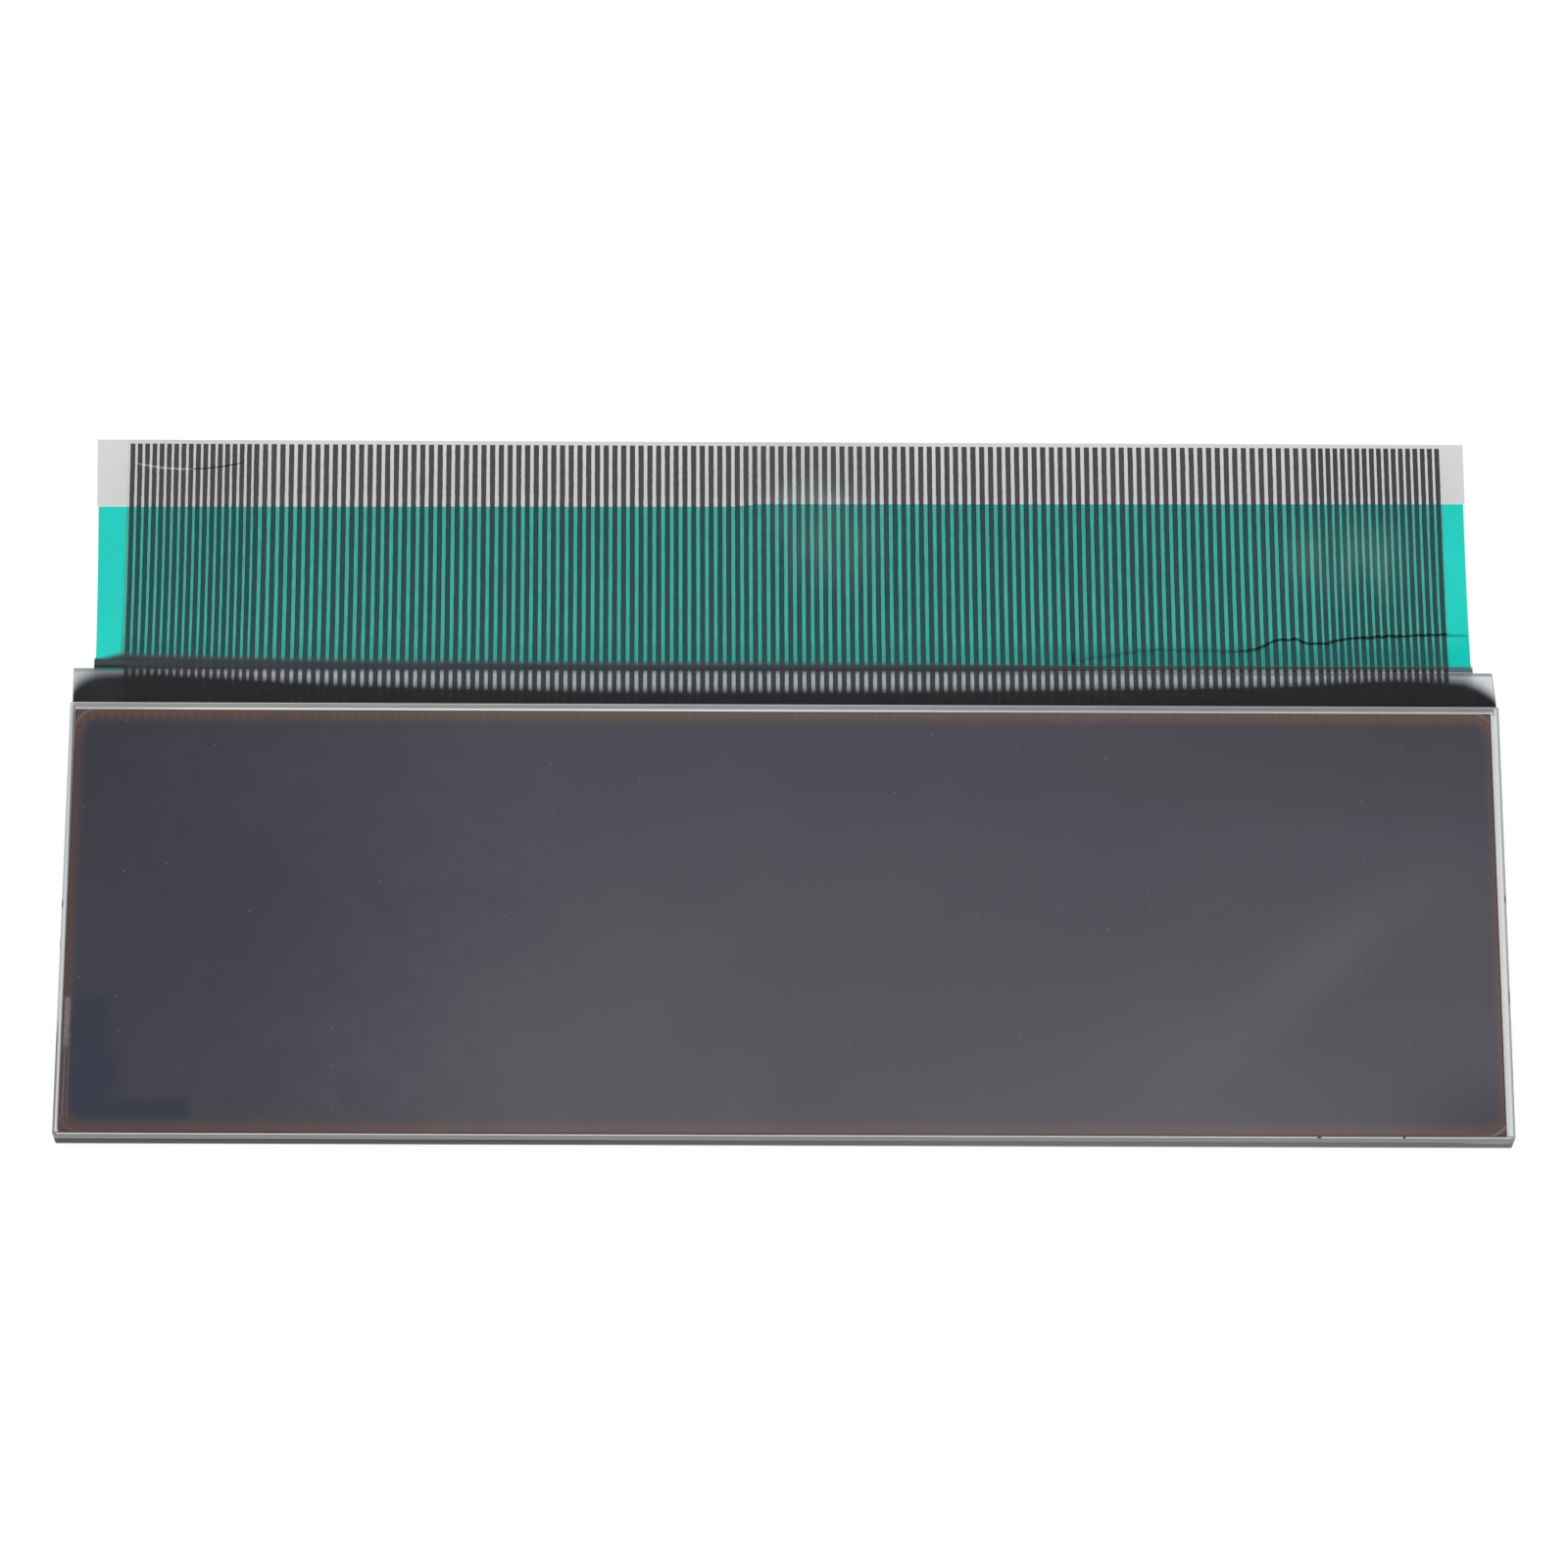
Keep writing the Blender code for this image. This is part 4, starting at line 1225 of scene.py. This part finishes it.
def seen_rays(graph):
    """1 for rays that the camera, gloss or glass sends out, 0 for light on dull surfaces."""
    rays = graph.add("ShaderNodeLightPath").outputs
    seen = Value(graph, rays["Is Camera Ray"])
    for kind in ("Glossy", "Transmission"):
        seen = seen.most(Value(graph, rays[f"Is {kind} Ray"]))
    return seen


def floor_material():
    """White floor that keeps its shadow: dull white, lifted a little where it is seen."""
    graph = new_material("floor", 0.9, 0.0)
    paper = graph.noise(0.05, 3.0)
    graph.join(graph.shader["Base Color"], paper.mix((0.19, 0.19, 0.19), (0.21, 0.21, 0.21)))
    graph.join(graph.shader["Emission Color"], WHITE)
    graph.join(graph.shader["Emission Strength"], seen_rays(graph) * 0.88)
    return graph.material


# Steps

def dress(node, material):
    """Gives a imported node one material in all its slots."""
    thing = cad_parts[node]
    thing.data.materials.clear()
    thing.data.materials.append(material)


class LCDCELL_OT_film(bpy.types.Operator):
    """Lay the clear film over the ledge and down to its tail"""

    bl_idname = "lcdcell.film"
    bl_label = "Ribbon Film"

    def execute(self, context):
        x, y = film_grid()
        film = slab("film", x, y, ribbon_height(x, y), context.scene.lcd_ribbon.thickness)
        film.data.materials.append(film_material())
        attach(film, "root")
        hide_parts("ribbon_film")
        return {"FINISHED"}


class LCDCELL_OT_traces(bpy.types.Operator):
    """Print the carbon traces on the underside of the film"""

    bl_idname = "lcdcell.traces"
    bl_label = "Carbon Traces"

    def execute(self, context):
        points = trace_points()
        traces = make_mesh("carbon_traces", points, trace_faces(*points.shape[:2]))
        across = traces.data.attributes.new("across", "FLOAT", "POINT")
        across.data.foreach_set("value", np.broadcast_to([0.0, 1.0, 1.0, 0.0], points.shape[:3]).ravel())
        traces.data.materials.append(carbon_material())
        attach(traces, "root")
        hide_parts("ribbon_film")
        return {"FINISHED"}


class LCDCELL_OT_coat(bpy.types.Operator):
    """Print the teal coat under the traces"""

    bl_idname = "lcdcell.coat"
    bl_label = "Cover Coat"

    def execute(self, context):
        coat = context.scene.lcd_coat
        trace = context.scene.lcd_traces
        x, y = coat_grid()
        depth = context.scene.lcd_ribbon.thickness + 2 * trace.gap + trace.height
        sheet = slab("teal_coat", x, y, ribbon_height(x, y) - depth, coat.thickness)
        sheet.data.materials.append(coat_material())
        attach(sheet, "root")
        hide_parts("cover_coat")
        return {"FINISHED"}


class LCDCELL_OT_glass(bpy.types.Operator):
    """Finish the two glass plates and the bond on the ledge"""

    bl_idname = "lcdcell.glass"
    bl_label = "Glass Plates"

    def execute(self, context):
        dress("front_glass", glass_material("front_plate", FRONT_LOW, FRONT_HIGH, False))
        dress("rear_glass", glass_material("rear_plate", REAR_LOW, REAR_HIGH, True))
        dress("bond_adhesive", adhesive_material())
        return {"FINISHED"}


class LCDCELL_OT_polarizers(bpy.types.Operator):
    """Finish the front and rear polarizing films"""

    bl_idname = "lcdcell.polarizers"
    bl_label = "Polarizers"

    def execute(self, context):
        core = context.scene.lcd_core
        dress("front_polarizer", screen_material())
        dress("rear_polarizer", plain_material("rear_polarizer", core.rear_film, 0.35, 0.08, 0.15))
        return {"FINISHED"}


class LCDCELL_OT_core(bpy.types.Operator):
    """Finish the seal ring, its resin plug, the fluid and the transfer dots"""

    bl_idname = "lcdcell.core"
    bl_label = "Seal and Fluid"

    def execute(self, context):
        core = context.scene.lcd_core
        dress("perimeter_seal", plain_material("seal_ring", core.seal, 0.5, 0.6, 0.2))
        dress("end_seal", plain_material("port_resin", core.resin, 0.4, 1.2, 0.25))
        dress("liquid_crystal", plain_material("fluid", core.fluid, 0.2, 0.1, 0.1))
        silver = plain_material("silver_paste", core.silver, 0.4, 4.0, 0.3, metallic=0.6)
        dress("transfer_dot_left", silver)
        dress("transfer_dot_right", silver)
        return {"FINISHED"}


def aim(place, target):
    """The matrix that looks from a place to a target with its top upwards."""
    back = (place - target).normalized()
    turn = back.to_track_quat("Z", "Y").to_matrix().to_4x4()
    return Matrix.Translation(place) @ turn


FLOOR_POINTS = 9

# Direction from the part to each lamp, and the lamp's share of the power
LAMPS = {
    "lamp_back": ((-0.25, 1.0, 0.85), 1.2),
    "lamp_left": ((-0.8, -0.35, 0.8), 0.6),
    "lamp_right": ((0.9, -0.2, 0.7), 0.4),
}


def add_lamp(stage, name, direction, share):
    """A square lamp that faces the part from a direction."""
    data = bpy.data.lights.new(name, "AREA")
    data.shape = "SQUARE"
    data.size = stage.lamp_width
    data.energy = stage.lamp_power * share
    lamp = bpy.data.objects.new(name, data)
    lamp.matrix_world = aim(Vector(direction).normalized() * stage.lamp_distance, Vector(ORIGIN))
    lamp.visible_camera = False
    bpy.context.scene.collection.objects.link(lamp)


def add_camera(stage):
    """A camera placed by elevation, azimuth and roll about its target."""
    flat = math.cos(stage.elevation)
    back = Vector((
        math.sin(stage.azimuth) * flat,
        -math.cos(stage.azimuth) * flat,
        math.sin(stage.elevation),
    ))
    level = Vector((math.cos(stage.azimuth), math.sin(stage.azimuth), 0.0))
    upward = back.cross(level)
    right = math.cos(stage.roll) * level + math.sin(stage.roll) * upward
    top = -math.sin(stage.roll) * level + math.cos(stage.roll) * upward
    data = bpy.data.cameras.new("camera")
    data.lens = stage.lens
    data.clip_start = 0.01
    data.clip_end = 20.0
    camera = bpy.data.objects.new("camera", data)
    place = Vector(stage.target) + back * stage.distance
    camera.matrix_world = Matrix.Translation(place) @ Matrix((right, top, back)).transposed().to_4x4()
    bpy.context.scene.collection.objects.link(camera)
    bpy.context.scene.camera = camera


def add_sky(level):
    """White where it is seen or mirrored, and the given level as light."""
    world = bpy.data.worlds.new("sky")
    bpy.context.scene.world = world
    world.use_nodes = True
    graph = Graph(world.node_tree)
    background = world.node_tree.nodes["Background"].inputs
    graph.join(background["Color"], WHITE)
    graph.join(background["Strength"], seen_rays(graph).blend(level, 1.0))


class LCDCELL_OT_stage(bpy.types.Operator):
    """Set up floor, sky, lamps and camera"""

    bl_idname = "lcdcell.stage"
    bl_label = "Stage"

    def execute(self, context):
        stage = context.scene.lcd_stage
        half = stage.floor_half
        across = np.linspace(-half, half, FLOOR_POINTS)
        x, y = np.meshgrid(across, across)
        index = np.arange(x.size).reshape(x.shape)
        points = np.stack([x, y, np.full(x.shape, -stage.floor_gap)], -1)
        floor = make_mesh("floor", points, grid_faces(index))
        floor.data.materials.append(floor_material())
        add_sky(stage.sky_level)
        for name, (direction, share) in LAMPS.items():
            add_lamp(stage, name, direction, share)
        add_camera(stage)
        context.scene.view_settings.view_transform = "Standard"
        return {"FINISHED"}


class LCDCELL_PT_panel(bpy.types.Panel):
    """Steps that dress the cell, in order"""

    bl_idname = "LCDCELL_PT_panel"
    bl_label = "LCD Cell"
    bl_space_type = "VIEW_3D"
    bl_region_type = "UI"
    bl_category = "LCD Cell"

    def draw(self, context):
        for step in STEPS:
            self.layout.operator(step.bl_idname)


SETTINGS = {
    "lcd_ribbon": RibbonShape,
    "lcd_film": FilmFinish,
    "lcd_traces": TraceShape,
    "lcd_coat": CoatShape,
    "lcd_glass": GlassFinish,
    "lcd_screen": ScreenFinish,
    "lcd_core": CoreFinish,
    "lcd_stage": StageSettings,
}
STEPS = (
    LCDCELL_OT_film,
    LCDCELL_OT_traces,
    LCDCELL_OT_coat,
    LCDCELL_OT_glass,
    LCDCELL_OT_polarizers,
    LCDCELL_OT_core,
    LCDCELL_OT_stage,
)
CLASSES = (*SETTINGS.values(), *STEPS, LCDCELL_PT_panel)


def register():
    for kind in CLASSES:
        bpy.utils.register_class(kind)
    for name, kind in SETTINGS.items():
        setattr(bpy.types.Scene, name, PointerProperty(type=kind))


def unregister():
    for name in SETTINGS:
        delattr(bpy.types.Scene, name)
    for kind in reversed(CLASSES):
        bpy.utils.unregister_class(kind)


def main():
    register()
    make_groups()
    bpy.ops.lcdcell.film()
    bpy.ops.lcdcell.traces()
    bpy.ops.lcdcell.coat()
    bpy.ops.lcdcell.glass()
    bpy.ops.lcdcell.polarizers()
    bpy.ops.lcdcell.core()
    bpy.ops.lcdcell.stage()
    bpy.context.view_layer.update()


if __name__ == "__main__":
    main()
